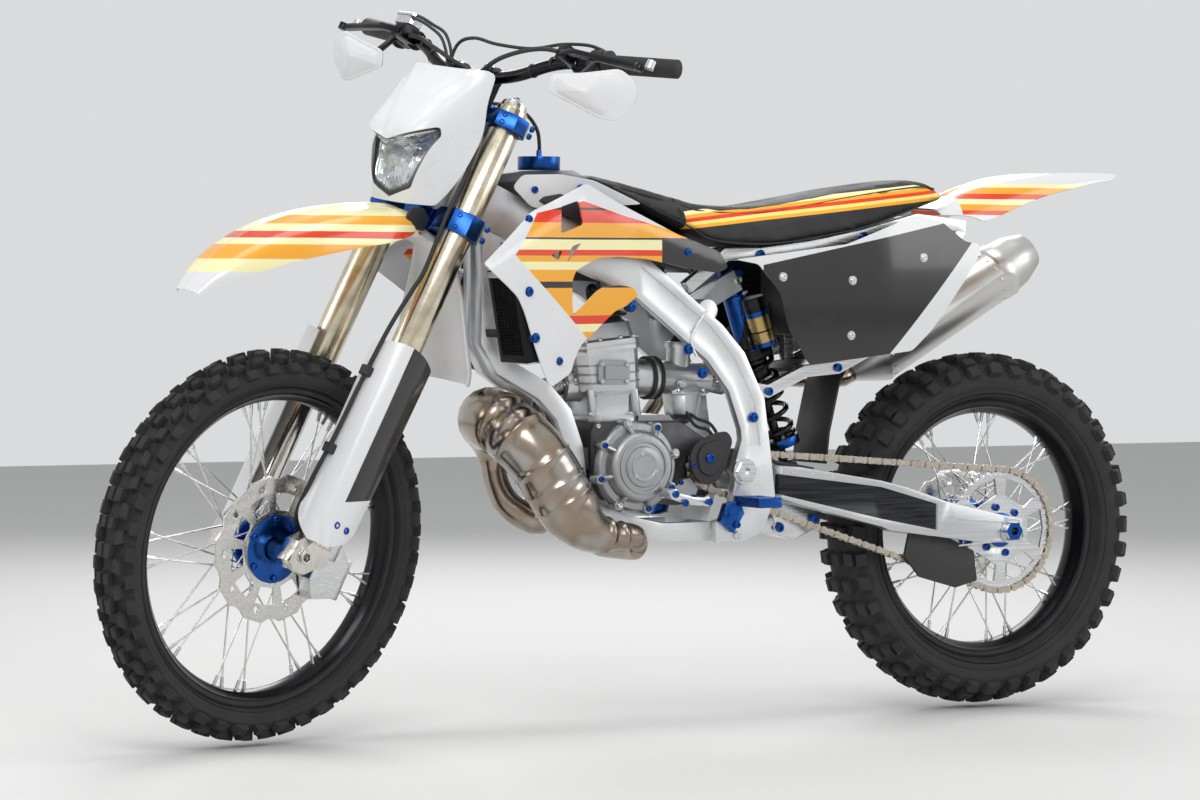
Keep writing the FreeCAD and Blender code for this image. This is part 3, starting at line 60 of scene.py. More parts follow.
swingarm_pivot = (583, 455)
spar_face = 112.0


def ground(point):
    """Place a point of the ground frame, in millimetres, in the model's frame."""
    return (Vector(point) - seat_reference) * 0.001


def head(v, y, u):
    """Ground point of the unturned steering parts: v ahead of the steering axis, u up along it."""
    return Vector((head_foot + v * math.cos(rake) - u * math.sin(rake), y,
                   v * math.sin(rake) + u * math.cos(rake)))


steering_axis = Vector((-math.sin(rake), 0.0, math.cos(rake)))
steering_foot = ground((head_foot, 0, 0))
steering_turn = (Matrix.Translation(steering_foot) @ Matrix.Rotation(steer, 4, steering_axis)
                 @ Matrix.Translation(-steering_foot))


def turned(point):
    """Place a ground point of the unturned steering parts where the turned bars carry it."""
    return steering_turn @ ground(point)


def from_head(point):
    """Place a point given as v, y, u in the steering head's own frame."""
    return turned(head(*point))


def front_wheel(point):
    """Place a point of the front wheel, given from the middle of its axle."""
    x, y, z = point
    return from_head((fork_offset + axle_lead + x, y, axle_height + z))


def rear_wheel(point):
    """Place a point of the rear wheel, given from the middle of its axle."""
    x, y, z = point
    return ground((x, y, rear_radius + z))


# Forms

class Form:
    """Vertices and faces gathered into one piece."""

    def __init__(self):
        self.verts = []
        self.faces = []

    def add(self, verts, faces):
        base = len(self.verts)
        self.verts.extend(Vector(v) for v in verts)
        self.faces.extend([base + i for i in f] for f in faces)
        return self

    def mirror(self):
        """Add the mirror image across the middle plane."""
        base = len(self.verts)
        count = len(self.faces)
        self.verts.extend([Vector((v.x, -v.y, v.z)) for v in self.verts])
        self.faces.extend([[base + i for i in reversed(f)] for f in self.faces[:count]])
        return self


def shade_smoothly(mesh):
    for polygon in mesh.polygons:
        polygon.use_smooth = True


def soften(piece, width, angle):
    """Bevel the edges of a piece that are sharper than an angle."""
    edge = piece.modifiers.new("edge", "BEVEL")
    edge.width = width * 0.001
    edge.segments = 2
    edge.limit_method = "ANGLE"
    edge.angle_limit = math.radians(angle)
    edge.use_clamp_overlap = True
    edge.harden_normals = True


def finish_piece(form, name, material, body, place=ground, replaces=(), bevel=0.0, solid=0.0,
                 angle=40.0):
    """Make the object of a form, with its modifiers, and give it to a body."""
    mesh = bpy.data.meshes.new(name)
    mesh.from_pydata([place(v) for v in form.verts], [], form.faces)
    work = bmesh.new()
    work.from_mesh(mesh)
    bmesh.ops.remove_doubles(work, verts=work.verts, dist=0.00002)
    bmesh.ops.recalc_face_normals(work, faces=work.faces)
    work.to_mesh(mesh)
    work.free()
    shade_smoothly(mesh)
    mesh.set_sharp_from_angle(angle=math.radians(angle))
    piece = bpy.data.objects.new(name, mesh)
    bpy.context.scene.collection.objects.link(piece)
    mesh.materials.append(material)
    if solid:
        thick = piece.modifiers.new("wall", "SOLIDIFY")
        thick.thickness = abs(solid) * 0.001
        thick.offset = -1.0 if solid > 0 else 1.0
    if bevel:
        soften(piece, bevel, 30)
    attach(piece, body)
    if replaces:
        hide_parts(*replaces)
    return piece


def faces_between(low, high, count, closed=True):
    """Faces between two rows of vertices, which start at low and at high."""
    return [(low + k, low + (k + 1) % count, high + (k + 1) % count, high + k)
            for k in range(count if closed else count - 1)]


def end_faces(count, last):
    """Flat ends on the first ring of vertices and on the ring that starts at last."""
    return [tuple(range(count))[::-1], tuple(range(last, last + count))]


def square_to(axis, upright=(0, 0, 1)):
    """Two directions that are square to an axis and to each other."""
    upright = Vector(upright)
    helper = upright if abs(axis.dot(upright)) < 0.9 else Vector((1, 0, 0))
    across = axis.cross(helper).normalized()
    return across, axis.cross(across)


def circle(center, across, along, radius, sides):
    """Points around a centre, in the plane of two directions."""
    angles = [2 * math.pi * k / sides for k in range(sides)]
    return [center + (across * math.cos(a) + along * math.sin(a)) * radius for a in angles]


def turns(count, share=0.0):
    """Evenly spaced angles of a full turn, started at a share of their spacing."""
    return [2 * math.pi * (k + share) / count for k in range(count)]


def around(center, radius, y, angle):
    """Point at an angle around a crosswise axis through a centre of x and z."""
    return Vector((center[0] + radius * math.sin(angle), y, center[1] + radius * math.cos(angle)))


def revolved(profile, sides=64):
    """Ring turned about the wheel axis, from points of y and radius."""
    verts = [around((0, 0), r, y, angle) for angle in turns(sides) for y, r in profile]
    count = len(profile)
    faces = []
    for index in range(sides):
        faces += faces_between(index * count, (index + 1) % sides * count, count)
    return verts, faces


def moved(shape, offset):
    """A form's vertices and faces, moved by an offset."""
    verts, faces = shape
    return [Vector(v) + Vector(offset) for v in verts], faces


def drum(start, end, radius, sides=24, end_radius=None, bore=0.0):
    """Round bar between two points, with flat ends or a bore."""
    start, end = Vector(start), Vector(end)
    across, along = square_to((end - start).normalized())
    rings = [(start, radius), (end, end_radius or radius)]
    if bore:
        rings += [(end, bore), (start, bore)]
    verts = [v for center, r in rings for v in circle(center, across, along, r, sides)]
    faces = []
    for ring in range(len(rings) if bore else 1):
        faces += faces_between(ring * sides, (ring + 1) % len(rings) * sides, sides)
    if not bore:
        faces += end_faces(sides, sides)
    return verts, faces


def prism_faces(count):
    """Faces of a plate whose two outlines have a number of vertices each."""
    return [tuple(range(count)), tuple(range(count, 2 * count))] + faces_between(0, count, count)


def plate(outline, low, high):
    """Flat plate of a side view in x and z, between two distances from the middle plane."""
    return [(x, y, z) for y in (low, high) for x, z in outline], prism_faces(len(outline))


def blend_four(values, share):
    """Value between the middle two of four, on a curve that passes through them."""
    a, b, c, d = values
    return 0.5 * ((2 * b) + (c - a) * share + (2 * a - 5 * b + 4 * c - d) * share ** 2
                  + (3 * b - a - 3 * c + d) * share ** 3)


def curve_points(points, steps=6):
    """Smooth line through the points, with some steps between each two."""
    points = [Vector(p) for p in points]
    result = []
    for index in range(len(points) - 1):
        four = [points[max(index - 1, 0)], points[index], points[index + 1],
                points[min(index + 2, len(points) - 1)]]
        result += [blend_four(four, step / steps) for step in range(steps)]
    return result + [points[-1]]


def direction_at(line, index):
    """Direction of a line of points at one of them."""
    return (line[min(index + 1, len(line) - 1)] - line[max(index - 1, 0)]).normalized()


def middle_of(points):
    """Mean of some points."""
    return sum(points[1:], points[0]) / len(points)


def swept(points, radius, sides=12, steps=6):
    """Round pipe along a smooth line. The radius is a number or one for each point."""
    radii = [radius] * len(points) if isinstance(radius, (int, float)) else radius
    line = curve_points(points, steps)
    sizes = curve_points([(r, 0, 0) for r in radii], steps)
    rings = []
    across = square_to((line[1] - line[0]).normalized())[0]
    for index, point in enumerate(line):
        ahead = direction_at(line, index)
        across = (across - ahead * across.dot(ahead)).normalized()
        rings.append(circle(point, across, ahead.cross(across), sizes[index].x, sides))
    return capped(rings)


def skin(rows, ring=False):
    """Sheet over rows of points; ring closes each row on itself."""
    count = len(rows[0])
    faces = []
    for index in range(len(rows) - 1):
        faces += faces_between(index * count, (index + 1) * count, count, ring)
    return [v for row in rows for v in row], faces


def capped(rows):
    """Closed form over rings of points."""
    verts, faces = skin(rows, ring=True)
    return verts, faces + end_faces(len(rows[0]), len(verts) - len(rows[0]))


def domed(rings, tip):
    """Sheet over closed rings that ends in one point."""
    verts, faces = skin(rings, ring=True)
    count = len(rings[0])
    last = len(verts) - count
    return verts + [tip], faces + [(last + k, last + (k + 1) % count, len(verts)) for k in range(count)]


def chamfered(a, b, corner):
    """Rectangle of two half sizes with its corners cut off, as eight points."""
    return [(-a, -b + corner), (-a + corner, -b), (a - corner, -b), (a, -b + corner),
            (a, b - corner), (a - corner, b), (-a + corner, b), (-a, b - corner)]


def bolt(center, direction, radius=6.0, height=5.0):
    """Socket-head bolt: a bevelled head with a hexagon well."""
    center, direction = Vector(center), Vector(direction).normalized()
    across, along = square_to(direction)
    rings = [(0.0, radius), (height * 0.75, radius), (height, radius * 0.82), (height, radius * 0.5),
             (height * 0.45, radius * 0.46)]
    return capped([circle(center + direction * level, across, along, r, 12) for level, r in rings])


# Finishes

class Socket:
    """Output of a shader node that takes part in arithmetic."""

    def __init__(self, finish, socket):
        self.finish = finish
        self.socket = socket

    def math(self, operation, *others):
        return self.finish.node("ShaderNodeMath", "Value", operation=operation,
                                inputs=dict(enumerate((self,) + others)))

    def __add__(self, other):
        return self.math("ADD", other)

    def __sub__(self, other):
        return self.math("SUBTRACT", other)

    def __mul__(self, other):
        return self.math("MULTIPLY", other)

    def __truediv__(self, other):
        return self.math("DIVIDE", other)

    def __gt__(self, other):
        return self.math("GREATER_THAN", other)

    def __lt__(self, other):
        return self.math("LESS_THAN", other)


class Finish:
    """A material with one shader, whose varying inputs come from nodes."""

    def __init__(self, name, color, roughness=0.5, metallic=0.0, **constants):
        self.material = bpy.data.materials.new(name)
        self.material.use_nodes = True
        self.tree = self.material.node_tree
        self.shader = self.tree.nodes["Principled BSDF"]
        self.shader.inputs["Base Color"].default_value = (*color, 1.0)
        self.shader.inputs["Roughness"].default_value = roughness
        self.shader.inputs["Metallic"].default_value = metallic
        for key, value in constants.items():
            self.shader.inputs[key.replace("_", " ")].default_value = value
        place = self.tree.nodes.new("ShaderNodeTexCoord")
        self.place = Socket(self, place.outputs["Object"])

    def node(self, kind, output=0, inputs=None, **settings):
        node = self.tree.nodes.new(kind)
        for key, value in settings.items():
            setattr(node, key, value)
        for key, value in (inputs or {}).items():
            if isinstance(value, Socket):
                self.tree.links.new(value.socket, node.inputs[key])
            else:
                node.inputs[key].default_value = value
        return Socket(self, node.outputs[output])

    def axes(self):
        split = self.tree.nodes.new("ShaderNodeSeparateXYZ")
        self.tree.links.new(self.place.socket, split.inputs[0])
        return [Socket(self, split.outputs[k]) for k in range(3)]

    def vector(self, x, y, z):
        return self.node("ShaderNodeCombineXYZ", inputs={0: x, 1: y, 2: z})

    def noise(self, scale, detail=3.0, rough=0.55, vector=None):
        return self.node("ShaderNodeTexNoise", "Fac", inputs={
            "Vector": vector or self.place, "Scale": scale, "Detail": detail, "Roughness": rough})

    def cells(self, scale, feature="F1", vector=None):
        return self.node("ShaderNodeTexVoronoi", "Distance", feature=feature, inputs={
            "Vector": vector or self.place, "Scale": scale})

    def remap(self, value, low, high, to_low=0.0, to_high=1.0):
        return self.node("ShaderNodeMapRange", "Result", inputs={
            "Value": value, "From Min": low, "From Max": high, "To Min": to_low, "To Max": to_high})

    def mix(self, factor, first, second):
        node = self.tree.nodes.new("ShaderNodeMix")
        node.data_type = "RGBA"
        for key, value in ((0, factor), (6, first), (7, second)):
            if isinstance(value, Socket):
                self.tree.links.new(value.socket, node.inputs[key])
            elif key == 0:
                node.inputs[key].default_value = value
            else:
                node.inputs[key].default_value = (*value, 1.0)
        return Socket(self, node.outputs[2])

    def ramp(self, factor, stops, constant=False):
        node = self.tree.nodes.new("ShaderNodeValToRGB")
        self.tree.links.new(factor.socket, node.inputs[0])
        elements = node.color_ramp.elements
        while len(elements) < len(stops):
            elements.new(1.0)
        for element, (position, color) in zip(elements, stops):
            element.position = position
            element.color = (*color, 1.0)
        if constant:
            node.color_ramp.interpolation = "CONSTANT"
        return Socket(self, node.outputs[0])

    def link(self, name, value):
        self.tree.links.new(value.socket, self.shader.inputs[name])
        return self

    def bump(self, height, distance=0.0005, strength=0.6):
        bumped = self.node("ShaderNodeBump", "Normal", inputs={
            "Height": height, "Distance": distance, "Strength": strength})
        self.tree.links.new(bumped.socket, self.shader.inputs["Normal"])
        return self


white = (0.80, 0.81, 0.83)
black = (0.012, 0.012, 0.013)
anodised_blue = (0.010, 0.085, 0.36)
amber = (0.95, 0.42, 0.02)
yellow = (0.98, 0.80, 0.20)
pale_yellow = (0.98, 0.92, 0.50)
red = (0.80, 0.045, 0.008)


def every(*tests):
    """Where all of the tests hold."""
    result = tests[0]
    for test in tests[1:]:
        result = result * test
    return result


def length_of(finish):
    """Distance ahead of the rear axle in millimetres."""
    return finish.axes()[0] * 1000.0 + seat_reference.x


def level_of(finish, slope=0.0):
    """Height above the ground in millimetres, less a slope along the length."""
    x, _, z = finish.axes()
    return (z * 1000.0 + seat_reference.z) - (x * 1000.0 + seat_reference.x) * slope


def worn(finish, base, low=0.9, high=1.08, scale=9.0):
    """Slight unevenness of a base colour, as dust and handling leave."""
    noise = finish.noise(scale, 5.0, 0.6)
    first = [c * low for c in base]
    second = [min(c * high, 1.0) for c in base]
    return finish.mix(finish.remap(noise, 0.3, 0.7), first, second)


def metal(name, color, roughness, grain=260.0, depth=0.0002, patch=7.0):
    """Cast or blasted metal with fine grain and uneven sheen."""
    finish = Finish(name, color, roughness, 1.0)
    finish.link("Base Color", worn(finish, color, 0.84, 1.1, patch))
    sheen = finish.noise(patch * 4, 4.0)
    finish.link("Roughness", finish.remap(sheen, 0.3, 0.7, roughness * 0.8, roughness * 1.25))
    finish.bump(finish.noise(grain, 3.0), depth, 0.55)
    return finish.material


def brushed(name, color, roughness, stretch=(6.0, 300.0, 300.0)):
    """Metal brushed along one direction."""
    finish = Finish(name, color, roughness, 1.0)
    x, y, z = finish.axes()
    lines = finish.noise(1.0, 4.0, 0.6, finish.vector(x * stretch[0], y * stretch[1], z * stretch[2]))
    finish.link("Base Color", finish.mix(finish.remap(lines, 0.3, 0.7), [c * 0.82 for c in color],
                                         [min(c * 1.08, 1) for c in color]))
    finish.link("Roughness", finish.remap(lines, 0.3, 0.7, roughness * 0.8, roughness * 1.3))
    finish.bump(lines, 0.0001, 0.4)
    return finish.material


def anodised(name, color, roughness=0.3):
    """Dyed and sealed metal."""
    finish = Finish(name, color, roughness, 1.0, Coat_Weight=0.25, Coat_Roughness=0.15)
    finish.link("Base Color", worn(finish, color, 0.75, 1.15, 30.0))
    finish.bump(finish.noise(500.0, 2.0), 0.00006, 0.4)
    return finish.material


def moulded(name, color, roughness=0.28, grain=900.0, depth=0.00004, coat=0.3):
    """Moulded plastic with a faint orange-peel and handling marks."""
    finish = Finish(name, color, roughness, 0.0, Coat_Weight=coat, Coat_Roughness=0.12)
    finish.link("Base Color", worn(finish, color, 0.97, 1.02, 5.0))
    marks = finish.noise(26.0, 6.0, 0.65)
    finish.link("Roughness", finish.remap(marks, 0.35, 0.75, roughness * 0.94, roughness * 1.15))
    finish.bump(finish.noise(grain, 2.0), depth, 0.5)
    return finish.material


def rubber(name, color, roughness=0.75, grain=420.0, depth=0.0003):
    """Dull rubber, paler where dust lies on it."""
    finish = Finish(name, color, roughness)
    dust = finish.noise(14.0, 6.0, 0.65)
    dusty = [c * 1.9 + 0.012 for c in color]
    finish.link("Base Color", finish.mix(finish.remap(dust, 0.45, 0.8), color, dusty))
    finish.link("Roughness", finish.remap(dust, 0.3, 0.7, roughness * 0.85, min(roughness * 1.2, 1.0)))
    finish.bump(finish.noise(grain, 4.0), depth, 0.5)
    return finish.material


def heat_tinted(name):
    """Bare welded steel: straw, brown and blue tints that drift along it, over drawn grain."""
    finish = Finish(name, (0.5, 0.43, 0.36), 0.26, 1.0)
    x, y, z = finish.axes()
    drift = finish.noise(7.0, 3.0, 0.5)
    tint = finish.ramp(drift, [(0.20, (0.47, 0.44, 0.41)), (0.40, (0.42, 0.36, 0.30)),
                               (0.52, (0.34, 0.27, 0.21)), (0.60, (0.45, 0.42, 0.39)),
                               (0.70, (0.28, 0.25, 0.25)), (0.85, (0.43, 0.38, 0.31))])
    grain = finish.noise(1.0, 4.0, 0.65, finish.vector(x * 150.0, y * 150.0, z * 700.0))
    shade = finish.mix(finish.remap(grain, 0.3, 0.7) * 0.2, tint, (0.2, 0.18, 0.16))
    finish.link("Base Color", shade)
    finish.link("Roughness", finish.remap(grain, 0.3, 0.7, 0.18, 0.27))
    finish.bump(grain, 0.00002, 0.25)
    return finish.material


cast = metal("cast_aluminium", (0.66, 0.67, 0.68), 0.38, 320.0, 0.00025)
frame_paint = metal("frame_silver", (0.74, 0.75, 0.76), 0.42, 380.0, 0.0002, 5.0)
machined = brushed("machined_aluminium", (0.72, 0.73, 0.74), 0.26)
covers = metal("grey_cast_covers", (0.40, 0.41, 0.42), 0.42, 300.0, 0.0003)
dark_case = metal("dark_case", (0.10, 0.10, 0.105), 0.5, 260.0, 0.0003)
white_plastic = moulded("white_plastic", white)
black_plastic = moulded("black_plastic", (0.018, 0.018, 0.02), 0.48, 700.0, 0.0001, 0.05)
gold = anodised("fork_gold", (0.72, 0.64, 0.49), 0.22)
chrome = brushed("fork_chrome", (0.74, 0.71, 0.66), 0.16, (200.0, 200.0, 8.0))
blue = anodised("blue_anodised", anodised_blue, 0.28)
black_metal = anodised("black_anodised", (0.018, 0.018, 0.02), 0.32)
bare_steel = heat_tinted("bare_steel")
silencer_steel = metal("silencer_alloy", (0.66, 0.65, 0.63), 0.36, 420.0, 0.00005, 3.0)
disc_steel = brushed("disc_steel", (0.66, 0.65, 0.62), 0.24, (240.0, 30.0, 240.0))
chain_steel = metal("chain_steel", (0.52, 0.47, 0.40), 0.34, 420.0, 0.0001, 40.0)
tyre_rubber = rubber("tyre", (0.020, 0.020, 0.021), 0.82, 260.0, 0.0006)
black_rubber = rubber("black_rubber", (0.014, 0.014, 0.015), 0.6)
radiator_black = metal("radiator_black", (0.03, 0.03, 0.032), 0.55, 300.0, 0.0002)
spoke_steel = brushed("spoke_steel", (0.78, 0.78, 0.77), 0.16, (40.0, 40.0, 40.0))
guide_black = moulded("guide_black", (0.022, 0.022, 0.024), 0.5, 500.0, 0.0001, 0.0)


def swingarm_finish():
    """Bright metal edges and axle blocks around a dark recess along each side of the arm."""
    arm_silver, arm_grey, arm_black = (0.62, 0.63, 0.64), (0.060, 0.061, 0.064), (0.02, 0.02, 0.022)
    finish = Finish("swingarm", arm_silver, 0.34, 1.0)
    x, y, z = finish.axes()
    length, height = x * 1000.0 + seat_reference.x, z * 1000.0 + seat_reference.z
    lines = finish.noise(1.0, 4.0, 0.6, finish.vector(x * 5.0, y * 240.0, z * 240.0))
    recess = every(height - length * 0.283 < 339.3, height - length * 0.127 < 383.8,
                   height - length * 0.200 > 305.0, height - length * 0.226 > 297.6,
                   length > 166.0, length < 505.0, y.math("ABSOLUTE") > 0.090)
    bright = finish.mix(finish.remap(lines, 0.3, 0.7), [c * 0.84 for c in arm_silver], arm_silver)
    shade = finish.mix(finish.remap(lines, 0.3, 0.7), arm_black, arm_grey)
    finish.link("Base Color", finish.mix(recess, bright, shade))
    finish.link("Roughness", finish.remap(lines, 0.3, 0.7, 0.30, 0.44))
    finish.bump(lines, 0.0001, 0.4)
    return finish.material


def shock_finish():
    """Damper in black, its reservoir banded in gold and blue, its rod and eyes in blue."""
    finish = Finish("shock_body", (0.02, 0.02, 0.022), 0.3, 1.0, Coat_Weight=0.2, Coat_Roughness=0.2)
    x, y, z = finish.axes()
    length, height = x * 1000.0 + seat_reference.x, z * 1000.0 + seat_reference.z
    along = (length - 546.0) * -0.331 + (height - 800.0) * -0.944
    reach = 400.0
    gold_band, blue_band, dark_band = (0.50, 0.36, 0.14), anodised_blue, (0.02, 0.02, 0.022)
    spans = [(0, blue_band), (24, dark_band), (58, blue_band), (68, gold_band), (94, dark_band),
             (98, gold_band), (116, blue_band), (130, dark_band), (300, blue_band)]
    stops = [(at / reach, color) for at, color in spans]
    bands = finish.ramp(finish.remap(along, 0.0, reach), stops, constant=True)
    dust = finish.noise(40.0, 4.0, 0.6)
    shade = finish.mix(y > 0.034, finish.mix(length < 530.0, blue_band, dark_band), bands)
    finish.link("Base Color", finish.mix(finish.remap(dust, 0.5, 0.9) * 0.12, shade, (0.3, 0.28, 0.25)))
    finish.link("Roughness", finish.remap(dust, 0.3, 0.7, 0.24, 0.36))
    finish.bump(finish.noise(500.0, 2.0), 0.00006, 0.4)
    return finish.material


# CAD nodes that keep their own shape: their finish, and softened edges

def dress(names, material, bevel):
    """Give CAD nodes a finish, join their split vertices and soften their edges."""
    for name in names:
        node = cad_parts[name]
        node.data.materials.clear()
        node.data.materials.append(material)
        weld = node.modifiers.new("weld", "WELD")
        weld.merge_threshold = 0.00001
        if bevel:
            soften(node, bevel, 32)
        shade_smoothly(node.data)


dress(["frame_spars", "cradle"], frame_paint, 2.0)
dress(["subframe", "linkage", "rear_axle", "foot_controls", "rear_caliper", "front_caliper"], machined, 1.2)
dress(["swingarm"], swingarm_finish(), 2.0)
dress(["crankcase"], dark_case, 2.0)
dress(["engine_covers"], covers, 2.5)
dress(["cylinder", "cylinder_head", "carburettor"], cast, 2.0)
dress(["shock_body"], shock_finish(), 1.0)
dress(["fuel_cap", "triple_clamps"], blue, 1.2)
dress(["airbox", "mud_flap", "chain_guide", "fuel_tank"], guide_black, 2.0)
dress(["fork_outer_tubes"], gold, 0.6)
dress(["fork_legs"], chrome, 1.0)
dress(["footpegs"], blue, 1.0)
dress(["front_sprocket"], chain_steel, 0.3)
dress(["rear_sprocket"], machined, 0.4)
dress(["front_disc", "rear_disc"], disc_steel, 0.2)
dress(["handlebar", "levers", "shock_spring"], black_metal, 0.8)
dress(["front_hub", "rear_hub"], blue, 0.6)
dress(["front_brake_hose", "grips"], black_rubber, 0.0)
dress(["radiators"], radiator_black, 0.8)
dress(["expansion_chamber", "tail_pipe"], bare_steel, 0.0)
dress(["silencer"], silencer_steel, 1.0)


# Wheels

tyre_sides = 120
spoke_count = 36
tread_height = 15.5


def tyre_section(radius, width, rim, lug):
    """Radius of the crown, half the width, and the radius where the tyre is widest."""
    crown = radius - lug
    return crown, width / 2 - 3, rim + 0.52 * (crown - rim)


def carcass(radius, width, rim, rim_width, lug):
    """Tyre section as points of y and radius, from bead to bead over the crown."""
    crown, half, middle = tyre_section(radius, width, rim, lug)
    side = [(rim_width * 0.36, rim - 7), (rim_width * 0.52, rim - 3), (rim_width * 0.56, rim + 3),
            (rim_width * 0.5, rim + 8), (half * 0.86, rim + 0.24 * (crown - rim)),
            (half * 0.985, middle - 4), (half, middle + 4)]
    for degrees in range(80, 0, -10):
        angle = math.radians(degrees)
        side.append((half * math.sin(angle), middle + (crown - middle) * math.cos(angle)))
    return side + [(0.0, crown)] + [(-y, r) for y, r in reversed(side)]


def tread_point(size, tilt, turn, rise):
    """Point on the tread: a tilt across the crown and a turn around the wheel, raised by some height."""
    crown, half, middle = tyre_section(*size)
    y = half * math.sin(tilt)
    r = middle + (crown - middle) * math.cos(tilt)
    slope = Vector((math.sin(tilt) * (crown - middle), math.cos(tilt) * half)).normalized()
    return around((0, 0), r + slope.y * rise, y + slope.x * rise, turn)


def knob(size, tilt, turn, half_tilt, half_turn, height, skew=0.0):
    """Tread block with tapered walls and a chamfered top."""
    verts = []
    for rise, scale in ((-2.0, 1.08), (height * 0.82, 0.95), (height, 0.86)):
        for a, b in ((-1, -1), (1, -1), (1, 1), (-1, 1)):
            verts.append(tread_point(size, tilt + a * half_tilt * scale,
                                     turn + (b + skew * a) * half_turn * scale, rise))
    return verts, [(8, 9, 10, 11)] + faces_between(0, 4, 4) + faces_between(4, 8, 4)


def tyre(name, body, place, radius, width, rim, rim_width, lug, pitches, rows):
    """Knobby tyre: smooth carcass with side ribs, and rows of knobs that alternate.

    A row is its tilt, half tilt, half turn, share of the pitch, height and skew. The whole part of
    the share tells which pitches have it.
    """
    form = Form().add(*revolved(carcass(radius, width, rim, rim_width, lug), tyre_sides))
    size = (radius, width, rim, lug)
    for pitch in range(pitches):
        for tilt, half_tilt, half_turn, share, height, skew in rows:
            if pitch % 2 == int(share):
                turn = 2 * math.pi * (pitch + share % 1) / pitches
                for side in (-1, 1) if tilt else (1,):
                    form.add(*knob(size, side * math.radians(tilt), turn, math.radians(half_tilt),
                                   math.radians(half_turn), height, skew * side))
    half = width / 2 - 3
    for share in (0.16, 0.30):
        r = rim + share * (radius - rim)
        y = half * (0.80 + 0.45 * share)
        ring = [(y - 2.5, r - 1.4), (y + 0.9, r - 0.9), (y + 1.2, r), (y + 0.9, r + 0.9), (y - 2.5, r + 1.4)]
        for side in (-1, 1):
            form.add(*revolved([(side * a, b) for a, b in ring], tyre_sides))
    finish_piece(form, name, tyre_rubber, body, place, replaces=[name], angle=32)


def rim_ring(name, body, place, radius, width):
    """Rim with rolled lips, a drop centre and the raised line of its nipple bed."""
    half = width / 2
    outer = [(half * 0.3, radius - 12), (half * 0.55, radius - 7), (half - 5, radius - 5),
             (half - 3, radius + 1.2), (half, radius - 0.5)]
    inner = [(half - 0.5, radius - 7), (half * 0.72, radius - 11), (half * 0.5, radius - 17.5),
             (half * 0.26, radius - 19.8)]
    outline = ([(-y, r) for y, r in reversed(outer)] + outer + inner
               + [(-y, r) for y, r in reversed(inner)])
    form = Form().add(*revolved(outline, 96))
    finish_piece(form, name, black_metal, body, place, replaces=[name], bevel=0.6,
                 angle=28)


def lacing(name, body, place, hub_length, flange, rim):
    """Round spokes with elbows through the flanges, and their nipples in the rim."""
    form = Form()
    nipples = Form()
    per_group = spoke_count // 4
    flange_y = hub_length / 2 - 11
    outer = (rim - 20.0) * math.cos(math.pi / 48) - 0.6
    for side in (-1, 1):
        for lead in (-1, 1):
            for index in range(per_group):
                base = 2 * math.pi * (index + 0.25 * (lead + 1) + 0.12 * (side + 1)) / per_group
                far = base + lead * math.radians(52)
                near = around((0, 0), flange + 1.5, side * (flange_y + lead * 2.4), base)
                end = around((0, 0), outer, side * 5.0, far)
                run = (end - near).normalized()
                root = near - run * 8
                root.y = side * (flange_y + lead * 4.2)
                form.add(*swept([root, near + run * 2, near + (end - near) * 0.5, end - run * 14], 1.7, 8, 2))
                nipples.add(*drum(end - run * 17, end + run * 1.5, 3.0, 8, 3.4))
                nipples.add(*drum(root - Vector((0, side * 0.5, 0)), root + Vector((0, side * lead * 2.4, 0)),
                                  3.4, 8))
    finish_piece(form, name, spoke_steel, body, place, replaces=[name], angle=60)
    finish_piece(nipples, name + "_nipples", machined, body, place)


front_rows = [(11, 8.5, 2.2, 0.0, tread_height, 0.0), (36, 8.5, 2.1, 0.5, 15.0, 0.2),
              (65, 11.5, 2.2, 0.05, 13.0, 0.12), (11, 7.0, 1.7, 1.0, tread_height, 0.0),
              (37, 8.0, 2.0, 1.45, 15.0, -0.2), (66, 11.0, 2.1, 1.05, 13.0, -0.12)]
rear_rows = [(0, 10.0, 2.3, 0.0, tread_height, 0.0), (27, 8.0, 2.3, 0.05, tread_height, 0.1),
             (62, 12.0, 2.6, 0.0, 13.5, 0.1), (14, 9.0, 2.2, 1.0, tread_height, 0.0),
             (40, 8.5, 2.3, 1.0, 15.0, 0.1), (64, 11.0, 2.3, 1.05, 13.5, -0.1)]
tyre("front_tyre", "front_wheel", front_wheel, front_radius, front_width, front_rim, front_rim_width,
     tread_height, 44, front_rows)
tyre("rear_tyre", "rear_wheel", rear_wheel, rear_radius, rear_width, rear_rim, rear_rim_width,
     tread_height, 40, rear_rows)
rim_ring("front_rim", "front_wheel", front_wheel, front_rim, front_rim_width)
rim_ring("rear_rim", "rear_wheel", rear_wheel, rear_rim, rear_rim_width)
lacing("front_spokes", "front_wheel", front_wheel, 66.0, 45.0, front_rim)
lacing("rear_spokes", "rear_wheel", rear_wheel, 90.0, 52.0, rear_rim)


